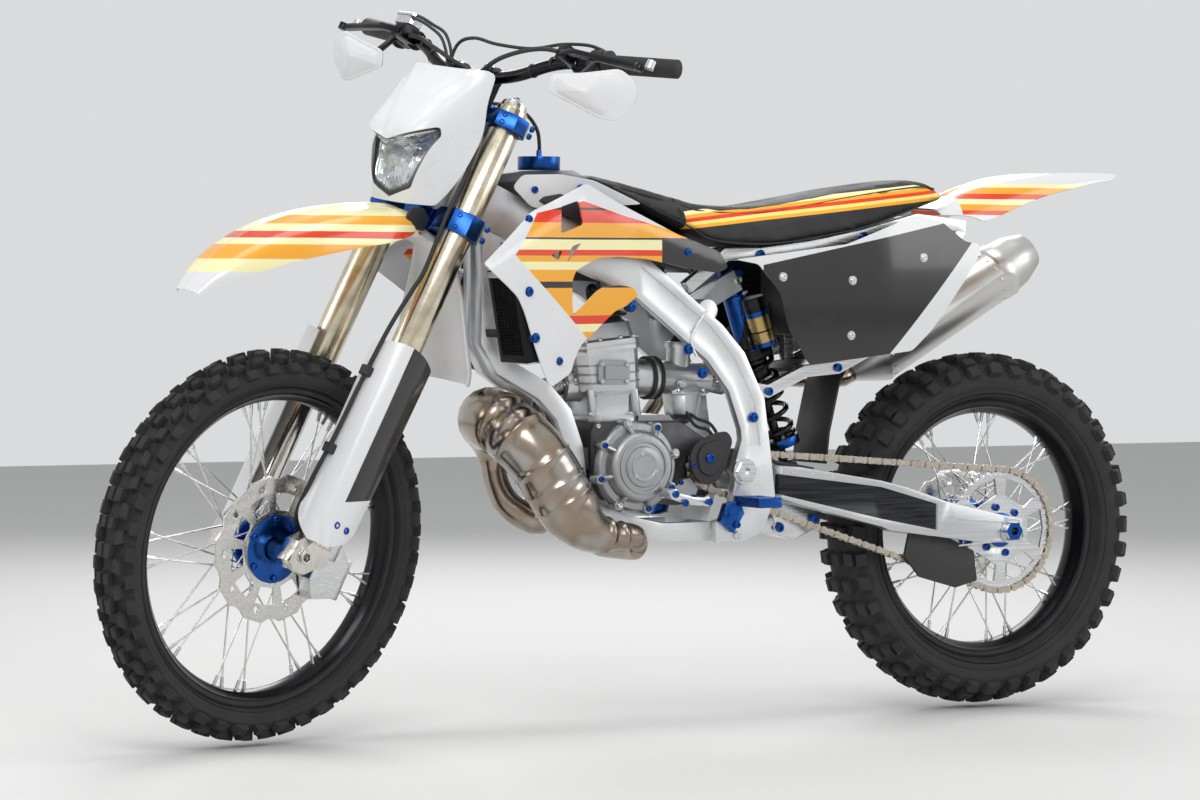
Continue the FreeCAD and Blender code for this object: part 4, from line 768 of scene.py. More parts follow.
def hub_details():
    """Disc and sprocket bolts, and hub bolts."""
    axle = (0, 0)
    disc_bolts, ferrules, rear_bolts, sprocket_bolts = Form(), Form(), Form(), Form()
    for angle in turns(6, 0.5):
        disc_bolts.add(*bolt(around(axle, 52, 36.6, angle), (0, 1, 0), 6.5, 4.5))
    for angle in turns(12):
        ferrules.add(*drum(around(axle, 38, 18, angle), around(axle, 38, 26.4, angle), 3.6, 12, bore=2.4))
    for angle in turns(6, 0.25):
        rear_bolts.add(*bolt(around(axle, 57, -67.6, angle), (0, -1, 0), 6.0, 4.5))
        sprocket_bolts.add(*bolt(around(axle, 44, 83.0, angle), (0, 1, 0), 7.0, 5.5))
    finish_piece(disc_bolts, "front_disc_bolts", blue, "front_wheel", front_wheel,
                 bevel=0.4)
    finish_piece(ferrules, "front_hub_ferrules", machined, "front_wheel", front_wheel)
    finish_piece(rear_bolts, "rear_disc_bolts", machined, "rear_wheel", rear_wheel,
                 bevel=0.4)
    finish_piece(sprocket_bolts, "sprocket_bolts", blue, "rear_wheel", rear_wheel,
                 bevel=0.4)


hub_details()


# Chain

chain_pitch = 15.875
rear_teeth, front_teeth = 45, 13
countershaft = (642.0, 460.0)


def chain_loop():
    """Pitch points of the chain around both sprockets."""
    big = chain_pitch / (2 * math.sin(math.pi / rear_teeth))
    small = chain_pitch / (2 * math.sin(math.pi / front_teeth))
    dx, dz = countershaft[0], countershaft[1] - rear_radius
    distance = math.hypot(dx, dz)
    course = math.atan2(dz, dx)
    taper = math.asin((big - small) / distance)
    run = distance * math.cos(taper)
    rear_arc = big * (math.pi + 2 * taper)
    front_arc = small * (math.pi - 2 * taper)
    total = 2 * run + rear_arc + front_arc
    links = int(round(total / chain_pitch / 2)) * 2
    top = course + math.pi / 2 - taper
    bottom = course - math.pi / 2 + taper
    points = []
    for index in range(links):
        s = index * total / links
        if s < run:
            x = math.cos(top) * big + s * math.cos(course - taper)
            z = rear_radius + math.sin(top) * big + s * math.sin(course - taper)
        elif s < run + front_arc:
            angle = top - (s - run) / small
            x, z = countershaft[0] + math.cos(angle) * small, countershaft[1] + math.sin(angle) * small
        elif s < 2 * run + front_arc:
            back = s - run - front_arc
            x = countershaft[0] + math.cos(bottom) * small - back * math.cos(course + taper)
            z = countershaft[1] + math.sin(bottom) * small - back * math.sin(course + taper)
        else:
            angle = bottom - (s - 2 * run - front_arc) / big
            x, z = math.cos(angle) * big, rear_radius + math.sin(angle) * big
        points.append(Vector((x, chain_line, z)))
    return points


def link_plate(start, end, y, thickness, size):
    """Waisted side plate of a link between two pins."""
    along = (end - start).normalized()
    across = Vector((-along.z, 0, along.x))
    length = (end - start).length
    outline = []
    for center, first in ((0.0, 110), (length, -70)):
        for step in range(5):
            angle = math.radians(first + step * 35)
            outline.append((center + size * math.cos(angle), size * math.sin(angle)))
    outline.insert(5, (length / 2, -size * 0.62))
    outline.append((length / 2, size * 0.62))
    verts = []
    for level in (y - thickness / 2, y + thickness / 2):
        for a, b in outline:
            verts.append(start + along * a + across * b + Vector((0, level, 0)))
    return verts, prism_faces(len(outline))


def make_chain():
    """Outer and inner links in turn, with a pin and a roller at each pitch."""
    points = chain_loop()
    form = Form()
    for index, point in enumerate(points):
        after = points[(index + 1) % len(points)]
        reach, size = (4.6, 6.4) if index % 2 else (7.0, 6.8)
        for side in (-1, 1):
            form.add(*link_plate(point, after, side * reach, 1.9, size))
        for half, radius, sides in ((8.9, 2.6, 8), (3.6, 5.0, 12)):
            form.add(*drum(point - Vector((0, half, 0)), point + Vector((0, half, 0)), radius, sides))
    finish_piece(form, "chain", chain_steel, "chassis", replaces=["chain"], angle=30)


make_chain()


# Bodywork

def corner_curve(start, corner, end, steps):
    """Smooth bend from a start to an end, drawn towards the corner between them."""
    shares = [step / steps for step in range(steps + 1)]
    return [start * (1 - t) ** 2 + corner * (2 * t * (1 - t)) + end * t * t for t in shares]


def rounded(outline, radius):
    """Outline with its corners rounded, as far as its edges allow."""
    result = []
    for index in range(len(outline)):
        corner = Vector(outline[index])
        before = Vector(outline[index - 1]) - corner
        after = Vector(outline[(index + 1) % len(outline)]) - corner
        reach = min(radius, 0.42 * before.length, 0.42 * after.length)
        result += corner_curve(corner + before.normalized() * reach, corner,
                               corner + after.normalized() * reach, 4)
    return result


def panel(outline, surface, spacing=10.0, holes=(), radius=8.0):
    """Sheet inside a rounded outline, with holes, whose points a surface function places in space."""
    rings = [rounded(outline, radius)] + [rounded(hole, radius * 0.6) for hole in holes]
    verts = []
    edges = []
    for ring in rings:
        dense = []
        for index, point in enumerate(ring):
            after = ring[(index + 1) % len(ring)]
            parts = max(1, int((after - point).length / spacing))
            dense += [point + (after - point) * (k / parts) for k in range(parts)]
        base = len(verts)
        verts += dense
        edges += [(base + k, base + (k + 1) % len(dense)) for k in range(len(dense))]
    border = len(verts)
    low = [min(v[k] for v in verts) for k in (0, 1)]
    high = [max(v[k] for v in verts) for k in (0, 1)]
    row = 0
    y = low[1]
    while y < high[1]:
        x = low[0] + (spacing / 2 if row % 2 else 0)
        while x < high[0]:
            spot = Vector((x, y))
            if all((spot - v).length > spacing * 0.55 for v in verts[:border]):
                verts.append(spot)
            x += spacing
        y += spacing * 0.87
        row += 1
    result = delaunay_2d_cdt(verts, edges, [], 4, 0.01)
    points, faces = result[0], result[2]
    kept = []
    for face in faces:
        middle = middle_of([points[i] for i in face])
        if inside(middle, rings[0]) and not any(inside(middle, ring) for ring in rings[1:]):
            kept.append(tuple(face))
    used = sorted({i for face in kept for i in face})
    index_of = {old: new for new, old in enumerate(used)}
    return [Vector(surface(*points[i])) for i in used], [tuple(index_of[i] for i in face) for face in kept]


def inside(point, ring):
    """Tell whether a point lies inside a closed outline."""
    result = False
    for index in range(len(ring)):
        a, b = ring[index - 1], ring[index]
        if (a.y > point.y) != (b.y > point.y):
            if point.x < (b.x - a.x) * (point.y - a.y) / (b.y - a.y) + a.x:
                result = not result
    return result


def along_line(line, x):
    """Value on a line of (x, value) points, smoothed a little."""
    def straight(at):
        for (x0, y0), (x1, y1) in zip(line, line[1:]):
            if at <= x1 or (x1, y1) == line[-1]:
                return y0 + (y1 - y0) * (at - x0) / (x1 - x0)
    return sum(straight(x + shift) for shift in (-24, -12, 0, 12, 24)) / 5


def graphic(name, bands, mask=None, dark=None):
    """White gloss plastic with printed stripes, given as (lowest height, colour).

    mask and dark are functions that tell where the print and where black lies.
    """
    roughness = 0.24
    finish = Finish(name, white, roughness, 0.0, Coat_Weight=0.5, Coat_Roughness=0.09)
    low, high = bands[0][0] - 1.0, bands[-1][0] + 60.0
    x, y, z = finish.axes()
    ragged = finish.noise(1.0, 3.0, 0.5, finish.vector(x * 4.0, y * 2.0, z * 90.0)) - 0.5
    level = finish.remap(level_of(finish) + ragged * 3.0, low, high)
    stops = [((height - low) / (high - low), color) for height, color in bands]
    print_color = finish.ramp(level, stops, constant=True)
    plain = worn(finish, white, 0.95, 1.03, 5.0)
    color = print_color if mask is None else finish.mix(mask(finish), plain, print_color)
    if dark is not None:
        color = finish.mix(dark(finish), color, black)
    marks = finish.noise(30.0, 6.0, 0.65)
    color = finish.mix(finish.remap(marks, 0.60, 0.80) * 0.04, color, (0.35, 0.31, 0.26))
    finish.link("Base Color", color)
    finish.link("Roughness", finish.remap(marks, 0.35, 0.75, roughness * 0.92, roughness * 1.2))
    finish.bump(finish.noise(800.0, 2.0), 0.00004, 0.4)
    return finish.material


def shroud_print(finish):
    """Amber part of the shroud, behind its white nose and below its white top edge."""
    x, z = length_of(finish), level_of(finish)
    nose_top = (x + (z - 843.0) * 0.78) < 1108.0
    nose_low = (x - (z - 843.0) * 1.15) < 1108.0
    top_back = (z - (x - 951.0) * 0.243) < 938.0
    top_front = (z + (x - 951.0) * 0.22) < 938.0
    return every(nose_top, nose_low, top_back, top_front)


def shroud_dark(finish):
    """Black patch at the shroud's rear end."""
    x, z = length_of(finish), level_of(finish)
    return every(x < 770.0, (z - x * 0.03) < 852.0, z > 800.0)


shroud_bands = [(600, amber), (708, pale_yellow), (722, red), (737, amber), (786, black), (797, amber),
                (817, pale_yellow), (831, amber), (842, red), (852, pale_yellow), (870, black), (873, amber),
                (899, red), (922, black), (926, red)]
shroud_finish = graphic("shroud_print", shroud_bands, shroud_print, dark=shroud_dark)

shroud_outline = [(1176, 828), (1060, 918), (951, 964), (929, 970), (815, 918), (736, 882), (645, 852),
                  (627, 822), (651, 813), (707, 819), (746, 827), (803, 837), (860, 841), (913, 839),
                  (938, 830), (970, 816), (979, 800), (979, 762), (976, 737), (915, 782), (895, 789), (857, 791),
                  (830, 786), (820, 773), (845, 754), (872, 745), (922, 709), (956, 686), (971, 660),
                  (978, 638), (1025, 613), (1043, 644), (1063, 688), (1086, 745), (1101, 771), (1126, 791)]
shroud_vents = [[(1003, 928), (963, 939), (951, 897), (1006, 881)],
                [(1029, 843), (1002, 852), (1011, 833)], [(980, 859), (955, 865), (992, 829)]]
shroud_line = [(600, 124), (850, 138), (1000, 190), (1180, 228)]
radiator_side = 191.5


def shroud_face(x, z):
    """Shroud surface: its line seen from above, crowned in height, its top edge rolled inwards."""
    y = along_line(shroud_line, x)
    crown = 6.0 * (1 - ((z - 800.0) / 190.0) ** 2)
    top = 918 + (min(x, 951) - 815) * 0.34 if x < 951 else 964 - (x - 951) * 0.55
    roll = max(0.0, 1 - (top - z) / 26.0)
    return (x, y + crown - 3.0 - 9.0 * roll * roll, z)


def shroud_bolt(x, z, washer, radius, height):
    """Bolt and its washer, let into the shroud's face."""
    y = shroud_face(x, z)[1]
    parts = Form().add(*drum((x, y - 1, z), (x, y + 1.6, z), washer, 24, washer - 1))
    parts.add(*bolt((x, y + 1.2, z), (0, 1, 0), radius, height))
    return parts.verts, parts.faces


def make_shrouds():
    """Shrouds with their vents, bolts and the bosses behind them, and ribs in their scoops."""
    form = Form().add(*panel(shroud_outline, shroud_face, 11.0, shroud_vents, 9.0))
    form.mirror()
    finish_piece(form, "shrouds", shroud_finish, "chassis", replaces=["shrouds"],
                 solid=3.2, bevel=0.9, angle=35)
    bosses, bolts = Form(), Form()
    for x, z in ((1062, 700), (1078, 780), (834, 752)):
        y = shroud_face(x, z)[1]
        inner = radiator_side + 0.4 if x > 1000 else y - 14
        bosses.add(*drum((x, inner, z), (x, y - 1.5, z), 9, 20, 7.5))
        bolts.add(*shroud_bolt(x, z, 9.5, 6.5, 4.5))
    for x, z in ((1007, 659), (1069, 905), (715, 850)):
        bolts.add(*shroud_bolt(x, z, 8.0, 5.5, 4.0))
    bosses.mirror()
    bolts.mirror()
    finish_piece(bosses, "shroud_bosses", black_plastic, "chassis", bevel=0.5)
    finish_piece(bolts, "shroud_bolts", blue, "chassis", bevel=0.3)
    scoop = Form()
    for k in range(4):
        x, z = 1046 - 16 * k, 862 - 9 * k
        y = along_line(shroud_line, x)
        rib = [(x - 10, y - 30, z + 40), (x - 14, y - 12, z + 8), (x - 6, y - 16, z - 40)]
        scoop.add(*swept(rib, 2.6, 8, 4))
    scoop.mirror()
    finish_piece(scoop, "shroud_ribs", black_plastic, "chassis")


make_shrouds()


def side_dark(finish):
    """Black patch in the side panel, inside its white border."""
    x, z = length_of(finish), level_of(finish)
    return every((z + x * 0.201) < 940.0, (z + x * 1.113) > 992.0, x < 560.0)


side_finish = graphic("side_panel_print", [(600, white), (640, white)], dark=side_dark)
side_left = [(569, 829), (617, 837), (386, 866), (252, 915), (223, 920), (176, 909), (123, 872), (93, 869),
             (89, 854), (126, 803), (200, 710), (243, 671), (308, 664), (457, 646), (505, 709), (525, 775)]
side_right = [(569, 829), (617, 837), (386, 866), (252, 915), (223, 920), (196, 905), (215, 800), (262, 722),
              (308, 664), (457, 646), (505, 709), (525, 775)]
side_line = [(60, 138), (300, 152), (480, 140), (660, 130)]


def side_face(x, z):
    """Surface of the side panels, crowned in height."""
    y = along_line(side_line, x)
    return (x, y + 4.0 - 9.0 * ((z - 780.0) / 120.0) ** 2, z)


def make_side_panels():
    """Side panels with their screws and bosses; the right one ends ahead of the silencer."""
    left = Form().add(*panel(side_left, side_face, 11.0))
    right = Form().add(*panel(side_right, side_face, 11.0))
    left.add([(v.x, -v.y, v.z) for v in right.verts], [tuple(reversed(f)) for f in right.faces])
    finish_piece(left, "side_panels", side_finish, "chassis", replaces=["side_panels"],
                 solid=3.2, bevel=0.9, angle=35)
    screws, bosses = Form(), Form()
    for x, z in ((377, 700), (377, 800), (222, 842), (520, 806)):
        y = side_face(x, z)[1]
        screws.add(*drum((x, y - 1, z), (x, y + 1.4, z), 9.0, 24, 8.0))
        screws.add(*bolt((x, y + 1.0, z), (0, 1, 0), 5.5, 3.6))
    for x, z in ((377, 700), (377, 800)):
        bosses.add(*drum((x, 94.4, z), (x, side_face(x, z)[1] - 2, z), 7, 20, 8))
    screws.mirror()
    bosses.mirror()
    finish_piece(screws, "side_panel_screws", machined, "chassis", bevel=0.3)
    finish_piece(bosses, "side_panel_bosses", black_plastic, "chassis")


make_side_panels()


# Fenders

edge_half = [(0.06, -0.05), (0.18, 0.0), (0.36, 0.02), (0.6, 0.08), (0.78, 0.2), (0.9, 0.42),
             (0.97, 0.72), (1.0, 1.0)]
edge_curve = [(-share, fall) for share, fall in reversed(edge_half)] + [(0.0, -0.07)] + edge_half


def fender_sheet(spine, steps=5):
    """Fender skin along a spine of (length, height, half width, drop of its edges)."""
    line = curve_points([(row[0], 0, row[1]) for row in spine], steps)
    sizes = curve_points([(row[2], row[3], 0) for row in spine], steps)
    rows = []
    for index, point in enumerate(line):
        ahead = direction_at(line, index)
        down = Vector((ahead.z, 0, -ahead.x))
        half, drop = sizes[index].x, sizes[index].y
        rows.append([point + Vector((0, half * share, 0)) + down * (drop * fall)
                     for share, fall in edge_curve])
    return skin(rows)


rear_bands = [(880, white), (922, red), (930, amber), (942, pale_yellow), (952, red), (962, amber),
              (974, pale_yellow), (982, white)]


def rear_fender_print(finish):
    """Printed part of the rear fender, between its white ends."""
    x = length_of(finish)
    return every(x < 96.0, x > -262.0)


rear_fender_finish = graphic("rear_fender_print", rear_bands, rear_fender_print)
front_bands = [(700, white), (811, pale_yellow), (834, amber), (859, pale_yellow), (869, red),
               (881, pale_yellow), (893, amber), (909, pale_yellow), (945, white)]


def front_fender_print(finish):
    """Printed part of the front fender, ahead of the forks."""
    x = length_of(finish)
    return every(x > 1215.0, level_of(finish) > 812.0)


front_fender_finish = graphic("front_fender_print", front_bands, front_fender_print)


def make_fenders():
    """Rear fender under the seat's end, and front fender below the lower clamp."""
    spine = [(-300, 1005, 30, 8), (-284, 1005.4, 36, 13), (-220, 1004, 46, 22), (-110, 1000, 64, 40),
             (-20, 990, 78, 56), (60, 968, 86, 60), (100, 952, 90, 34), (150, 934.5, 92, 14)]
    form = Form().add(*fender_sheet(spine))
    finish_piece(form, "rear_fender", rear_fender_finish, "chassis", replaces=["rear_fender"],
                 solid=3.4, bevel=1.0, angle=40)
    base = lower_clamp - 20.0 - 0.3
    shape = [(-172, -202, 92, 24), (-160, -180, 96, 24), (-134, -146, 94, 24), (-104, -100, 84, 22),
             (-76, -58, 70, 18), (-46, -20, 56, 14), (-20, 0, 50, 12), (48, 0, 54, 22), (66, 10, 58, 26),
             (104, 6, 70, 44), (163, -20, 84, 56), (235, -62, 86, 60), (300, -111, 84, 58),
             (348, -156, 78, 52), (389, -208, 68, 42), (420, -262, 52, 26), (436, -314, 34, 12)]
    form = Form().add(*fender_sheet([(v, base + rise, half, drop) for v, rise, half, drop in shape], 4))
    finish_piece(form, "front_fender", front_fender_finish, "steering", from_head, replaces=["front_fender"],
                 solid=3.4, bevel=1.0, angle=40)


make_fenders()


# Mask, headlamp and guards

mask_levels = [(1176, 1128, 105, 1160, 72), (1120, 1144, 106, 1216, 66), (1062, 1150, 104, 1268, 64),
               (1000, 1180, 98, 1264, 60), (938, 1216, 84, 1256, 52)]
lens_corners = [(-86, 1076), (-44, 1061), (0, 1046), (44, 1061), (86, 1076), (90, 1060), (52, 966),
                (0, 945), (-52, 966), (-90, 1060)]
mask_top, notch_height = 1176.0, 1050.0


def mask_face(k, z):
    """Point of the mask: k runs from 0 at its right rear edge over 2 at the middle to 4."""
    levels = sorted(mask_levels)
    heights = [level[0] for level in levels]
    spot = min(max(z, heights[0]), heights[-1])
    index = max(i for i in range(len(levels) - 1) if heights[i] <= spot)
    share = (spot - heights[index]) / (heights[index + 1] - heights[index])
    nearby = [levels[min(max(index + step, 0), len(levels) - 1)] for step in (-1, 0, 1, 2)]
    x_side, half_side, x_front, half_front = [blend_four([level[column] for level in nearby], share)
                                              for column in (1, 2, 3, 4)]
    x_back = x_side - (x_front - x_side) * 0.5
    row = [(x_back, half_side + 6), (x_side, half_side), (x_front, half_front), (x_front + 9, 0),
           (x_front, -half_front), (x_side, -half_side), (x_back, -half_side - 6)]
    turn = 4 - k
    column = min(int(turn), 3)
    part = turn - column
    four = row[column:column + 4]
    x = blend_four([p[0] for p in four], part)
    y = blend_four([p[1] for p in four], part)
    within = (z - notch_height) / (mask_top - notch_height) * 1.15 - abs(k - 2)
    return (x + 5.5 * min(max(within * 5.0, 0.0), 1.0), y, z)


def mask_width(z):
    """Half width of the mask's front at a height."""
    levels = sorted(mask_levels)
    low, high = next(pair for pair in zip(levels, levels[1:]) if z <= pair[1][0])
    return high[4] + (low[4] - high[4]) * (high[0] - z) / (high[0] - low[0])


def make_mask():
    """Mask with the hole for its lamp; while it is laid out flat, a unit of k counts as 60 mm."""
    unit = 60.0
    outline = [(0.0, 1168), (0.4, 1176), (3.6, 1176), (4.0, 1168), (4.0, 960), (3.8, 938), (0.2, 938),
               (0.0, 960)]
    hole = [((2 + y / mask_width(z)) * unit, z) for y, z in lens_corners]
    form = Form().add(*panel([(k * unit, z) for k, z in outline],
                             lambda k, z: mask_face(k / unit, z), 7.0, [hole], 9.0))
    finish_piece(form, "headlight_mask", white_plastic, "steering", turned, replaces=["headlight_mask"],
                 solid=3.2, bevel=0.9, angle=38)


make_mask()


def lens_ring(grow, x_shift):
    """Outline of the lens on the mask's face, moved along the machine."""
    ring = []
    corners = [(y * (1 + grow / 60), 1010 + (z - 1010) * (1 + grow / 50)) for y, z in lens_corners]
    for corner in rounded(corners, 10.0):
        k = 2 + corner.x / mask_width(min(max(corner.y, 940), 1170))
        face = mask_face(k, corner.y)
        ring.append(Vector((face[0] + x_shift, face[1], corner.y)))
    return ring


def scaled(ring, share, x_shift):
    """Ring scaled about its middle and moved along the machine."""
    middle = middle_of(ring)
    return [Vector((p.x + x_shift, middle.y + (p.y - middle.y) * share, middle.z + (p.z - middle.z) * share))
            for p in ring]


def make_headlamp():
    """Headlamp: black bezel, reflecting bowl, clear lens and bulb."""
    rim = lens_ring(-0.8, -3.0)
    section = [(0.97, 1.0), (0.93, 0.5), (0.92, -8.0), (0.99, -9.0)]
    bezel = Form().add(*skin([rim] + [scaled(rim, *step) for step in section] + [rim], ring=True))
    finish_piece(bezel, "headlight_bezel", black_plastic, "steering", turned)
    section = [(0.915, -6.0), (0.86, -18.0), (0.72, -34.0), (0.5, -46.0), (0.24, -52.0), (0.20, -52.0)]
    bowl = Form().add(*skin([scaled(rim, *step) for step in section], ring=True))
    finish_piece(bowl, "headlight_bowl", reflector, "steering", turned, solid=-1.6)
    rings = [scaled(rim, share, -1.2 + 3.0 * (1 - share ** 2)) for share in (0.93, 0.8, 0.6, 0.4, 0.2)]
    glass = Form().add(*domed(rings, middle_of(rings[-1]) + Vector((0.3, 0, 0))))
    finish_piece(glass, "headlight", lens_clear, "steering", turned, replaces=["headlight"],
                 solid=1.6)
    bulb = Form()
    foot, neck, low, high, tip = [middle_of(rim) + Vector((x, 0, 2)) for x in (-52, -30, -32, -22, -14)]
    bulb.add(*drum(foot, neck, 9, 20, 8))
    bulb.add(*swept([low, high, tip], [7.5, 7.0, 3.0], 16, 3))
    finish_piece(bulb, "headlight_bulb", spoke_steel, "steering", turned)


reflector = brushed("reflector", (0.86, 0.86, 0.87), 0.08, (20.0, 20.0, 20.0))


def clear_lens():
    """Clear plastic lens with fluted optics."""
    finish = Finish("lamp_lens", (0.92, 0.95, 0.97), 0.06, 0.0, Transmission_Weight=0.92, IOR=1.3)
    flutes = finish.node("ShaderNodeTexWave", "Fac", inputs={"Vector": finish.place, "Scale": 38.0},
                         wave_type="BANDS", bands_direction="Y")
    finish.bump(flutes, 0.0008, 0.35)
    finish.link("Roughness", finish.remap(finish.noise(40.0), 0.4, 0.8, 0.03, 0.14))
    return finish.material


lens_clear = clear_lens()
make_headlamp()


def bar_point(ahead, side, above):
    """Point of the bars, in the steering head's frame, from the top of the upper clamp."""
    return Vector((ahead, side, clamp_top + above))


bar_end, bar_bend = (-11, 402, 145), (20, 252, 123)
bar_rise, bar_middle = (39, 176, 107), (50, 84, 57)


def along_grip(y):
    """Point in the middle of the left grip at a distance from the middle plane."""
    end, bend = bar_point(*bar_end), bar_point(*bar_bend)
    return bend + (end - bend) * ((y - bend.y) / (end.y - bend.y))


def make_hand_guards():
    """Hand guards, their stays on the bar and the bolts of both."""
    outline = [(73, 222, 40), (86, 222, 66), (78, 290, 80), (71, 365, 100), (56, 400, 86), (40, 402, 55),
               (31, 364, 19), (36, 334, 16), (70, 228, 37)]
    center = bar_point(73, 308, 47)
    reach = 13.0
    ring = []
    points = [bar_point(*p) for p in outline]
    for index, corner in enumerate(points):
        before, after = points[index - 1] - corner, points[(index + 1) % len(points)] - corner
        ring += corner_curve(corner + before.normalized() * min(reach, before.length * 0.4), corner,
                             corner + after.normalized() * min(reach, after.length * 0.4), 3)
    rows = []
    for share in (1.0, 0.93, 0.84, 0.7, 0.52, 0.34, 0.16):
        swell = 5.0 * (1 - share ** 4) - (2.5 if share == 0.84 else 0.0)
        rows.append([center + (p - center) * share + Vector((swell - 1.5, 0, 0)) for p in ring])
    form = Form().add(*domed(rows, center + Vector((3.5, 0, 0))))
    form.mirror()
    finish_piece(form, "hand_guards", white_plastic, "steering", from_head, replaces=["hand_guards"],
                 solid=3.4, bevel=0.8, angle=50)
    stays, bolts = Form(), Form()
    foot, top = along_grip(262.0), bar_point(70, 262, 57)
    stays.add(*drum(foot - Vector((0, 6, 0)), foot + Vector((0, 6, 0)), 15.5, 24, bore=11.4))
    arm = [foot + Vector((13, 0, 4)), foot.lerp(top, 0.5) + Vector((4, 0, 4)), top]
    stays.add(*swept(arm, [7.5, 6.0, 7.0], 12, 5))
    bolts.add(*bolt(top + Vector((1.5, 0, 0)), (1, 0, 0), 6.0, 5.0))
    bolts.add(*bolt(foot + Vector((0, 0, 13)), (0, 0, 1), 4.5, 5.0))
    stays.mirror()
    bolts.mirror()
    finish_piece(stays, "hand_guard_stays", black_plastic, "steering", from_head,
                 bevel=0.6)
    finish_piece(bolts, "hand_guard_bolts", blue, "steering", from_head, bevel=0.3)


make_hand_guards()


def guard_dark(finish):
    """Black patch on the rear half of each fork guard."""
    level = level_of(finish)
    return every((length_of(finish) + level * math.tan(rake)) < 1606.0, level > 420.0)


fork_guard_finish = graphic("fork_guard_print", [(200, white), (300, white)], dark=guard_dark)


def make_fork_guards():
    """Fork guards, wrapped around the front of each leg, with the blocks and bolts that hold them."""
    y = fork_spacing / 2
    section = [(-60, 16), (-38, 28), (-12, 36), (16, 36), (38, 20), (48, -2), (49, -26)]
    plan = curve_points([(fork_offset + ahead, y + out, 0) for ahead, out in section], 5)
    rows = []
    for step in range(41):
        t = step / 40
        start = max(0.06, 0.17 - 0.12 * t) + 0.10 * max(0.0, 1 - t * 14)
        end = 1.0 - 0.30 * max(0.0, 1 - t * 6) ** 2
        row = []
        for k in range(25):
            at = (start + (end - start) * k / 24) * (len(plan) - 1)
            index = min(int(at), len(plan) - 2)
            point = plan[index].lerp(plan[index + 1], at - index)
            low = axle_height + 30 + 40 * max(0.0, 0.5 - k / 24)
            high = axle_height + 392 + 14 * math.sin(math.pi * k / 24)
            ridge = 2.2 if 0.42 < k / 24 < 0.6 else 0.0
            row.append(Vector((point.x, point.y + ridge, low + (high - low) * t)))
        rows.append(row)
    form = Form().add(*skin(rows))
    form.mirror()
    finish_piece(form, "fork_guards", fork_guard_finish, "steering", from_head, replaces=["fork_guards"],
                 solid=-3.2, bevel=0.8, angle=35)
    blocks, bolts = Form(), Form()
    block = [(-20, 60), (20, 60), (20, 84), (-20, 84)]
    blocks.add(*plate([(fork_offset + ahead, axle_height + rise) for ahead, rise in block],
                      y + 14.4, y + 32))
    for v in (-12, 12):
        bolts.add(*bolt((fork_offset + v, y + 37, axle_height + 72), (0, 1, 0), 6.5, 4.5))
    blocks.mirror()
    bolts.mirror()
    finish_piece(blocks, "fork_guard_blocks", machined, "steering", from_head,
                 bevel=1.0)
    finish_piece(bolts, "fork_guard_bolts", blue, "steering", from_head, bevel=0.3)


make_fork_guards()


# Seat

seat_bands = [(900, black), (966, amber), (972, yellow), (978, red), (984, amber), (991, pale_yellow),
              (998, black)]


def seat_print_finish():
    """Grained seat cover with a ribbed gripper top and stripes along its sides."""
    finish = Finish("seat_cover", black, 0.66)
    slope = -0.108
    low, high = 899.0, 1050.0
    level = finish.remap(level_of(finish, slope), low, high)
    stops = [((height - low) / (high - low), color) for height, color in seat_bands]
    x, y, _ = finish.axes()
    side = y.math("ABSOLUTE") > 0.078
    dust = finish.noise(14.0, 6.0, 0.65)
    plain = finish.mix(finish.remap(dust, 0.45, 0.8), (0.014, 0.014, 0.015), (0.040, 0.039, 0.038))
    rear = length_of(finish) < 700.0
    stripes = finish.ramp(level, stops, constant=True)
    finish.link("Base Color", finish.mix(every(side, rear), plain, stripes))
    finish.link("Roughness", finish.remap(dust, 0.3, 0.7, 0.52, 0.82))
    cells = finish.cells(620.0)
    top = y.math("ABSOLUTE") < 0.066
    ribs = (x * 620.0).math("SINE") * 0.5
    finish.bump(cells * 0.5 + ribs * top, 0.0007, 0.5)
    return finish.material


seat_profile = [(884, 990, 981, 46, 52), (840, 980, 962, 54, 74), (760, 960, 922, 66, 92),
                (700, 945, 894, 72, 106), (650, 934, 868, 77, 116), (540, 932, 862, 83, 122),
                (430, 948, 876, 87, 124), (320, 967, 897, 87, 118), (180, 984, 940, 78, 99),
                (132, 972, 953, 60, 82)]


def seat_row(x, top, low, half_top, half_low):
    """Section of the seat: a slightly crowned top over leaning sides."""
    height = top - low
    half = [(half_low * 0.55, low + 1), (half_low - 1, low + 3), (half_low, low + height * 0.2),
            (half_low * 0.72 + half_top * 0.28, low + height * 0.5), (half_top + 2, top - 11),
            (half_top - 1, top - 5), (half_top * 0.82, top - 1.5), (half_top * 0.4, top - 0.5)]
    return [Vector((x, y, z)) for y, z in half] + [Vector((x, -y, z)) for y, z in reversed(half)]


def seat_rows():
    """Sections of the seat from its front to its rear."""
    main = curve_points([row[:3] for row in seat_profile], 7)
    width = curve_points([(row[3], row[4], 0) for row in seat_profile], 7)
    return [seat_row(m.x, m.y, m.z, w.x, w.y) for m, w in zip(main, width)]


def swell(piece, pressure, limit):
    """Blow the cover up a little with cloth pressure, no further than a limit, and keep the result."""
    start = [v.co.copy() for v in piece.data.vertices]
    cloth = piece.modifiers.new("cloth", "CLOTH")
    cloth.settings.use_pressure = True
    cloth.settings.uniform_pressure_force = pressure
    cloth.settings.effector_weights.gravity = 0.0
    cloth.settings.quality = 4
    cloth.point_cache.frame_end = 20
    for step in range(1, 21):
        bpy.context.scene.frame_set(step)
    shape = piece.evaluated_get(bpy.context.evaluated_depsgraph_get())
    moved_to = [v.co.copy() for v in shape.data.vertices]
    piece.modifiers.remove(cloth)
    bpy.context.scene.frame_set(1)
    for vertex, before, after in zip(piece.data.vertices, start, moved_to):
        travel = after - before
        if travel.length > limit:
            travel = travel.normalized() * limit
        vertex.co = before + travel


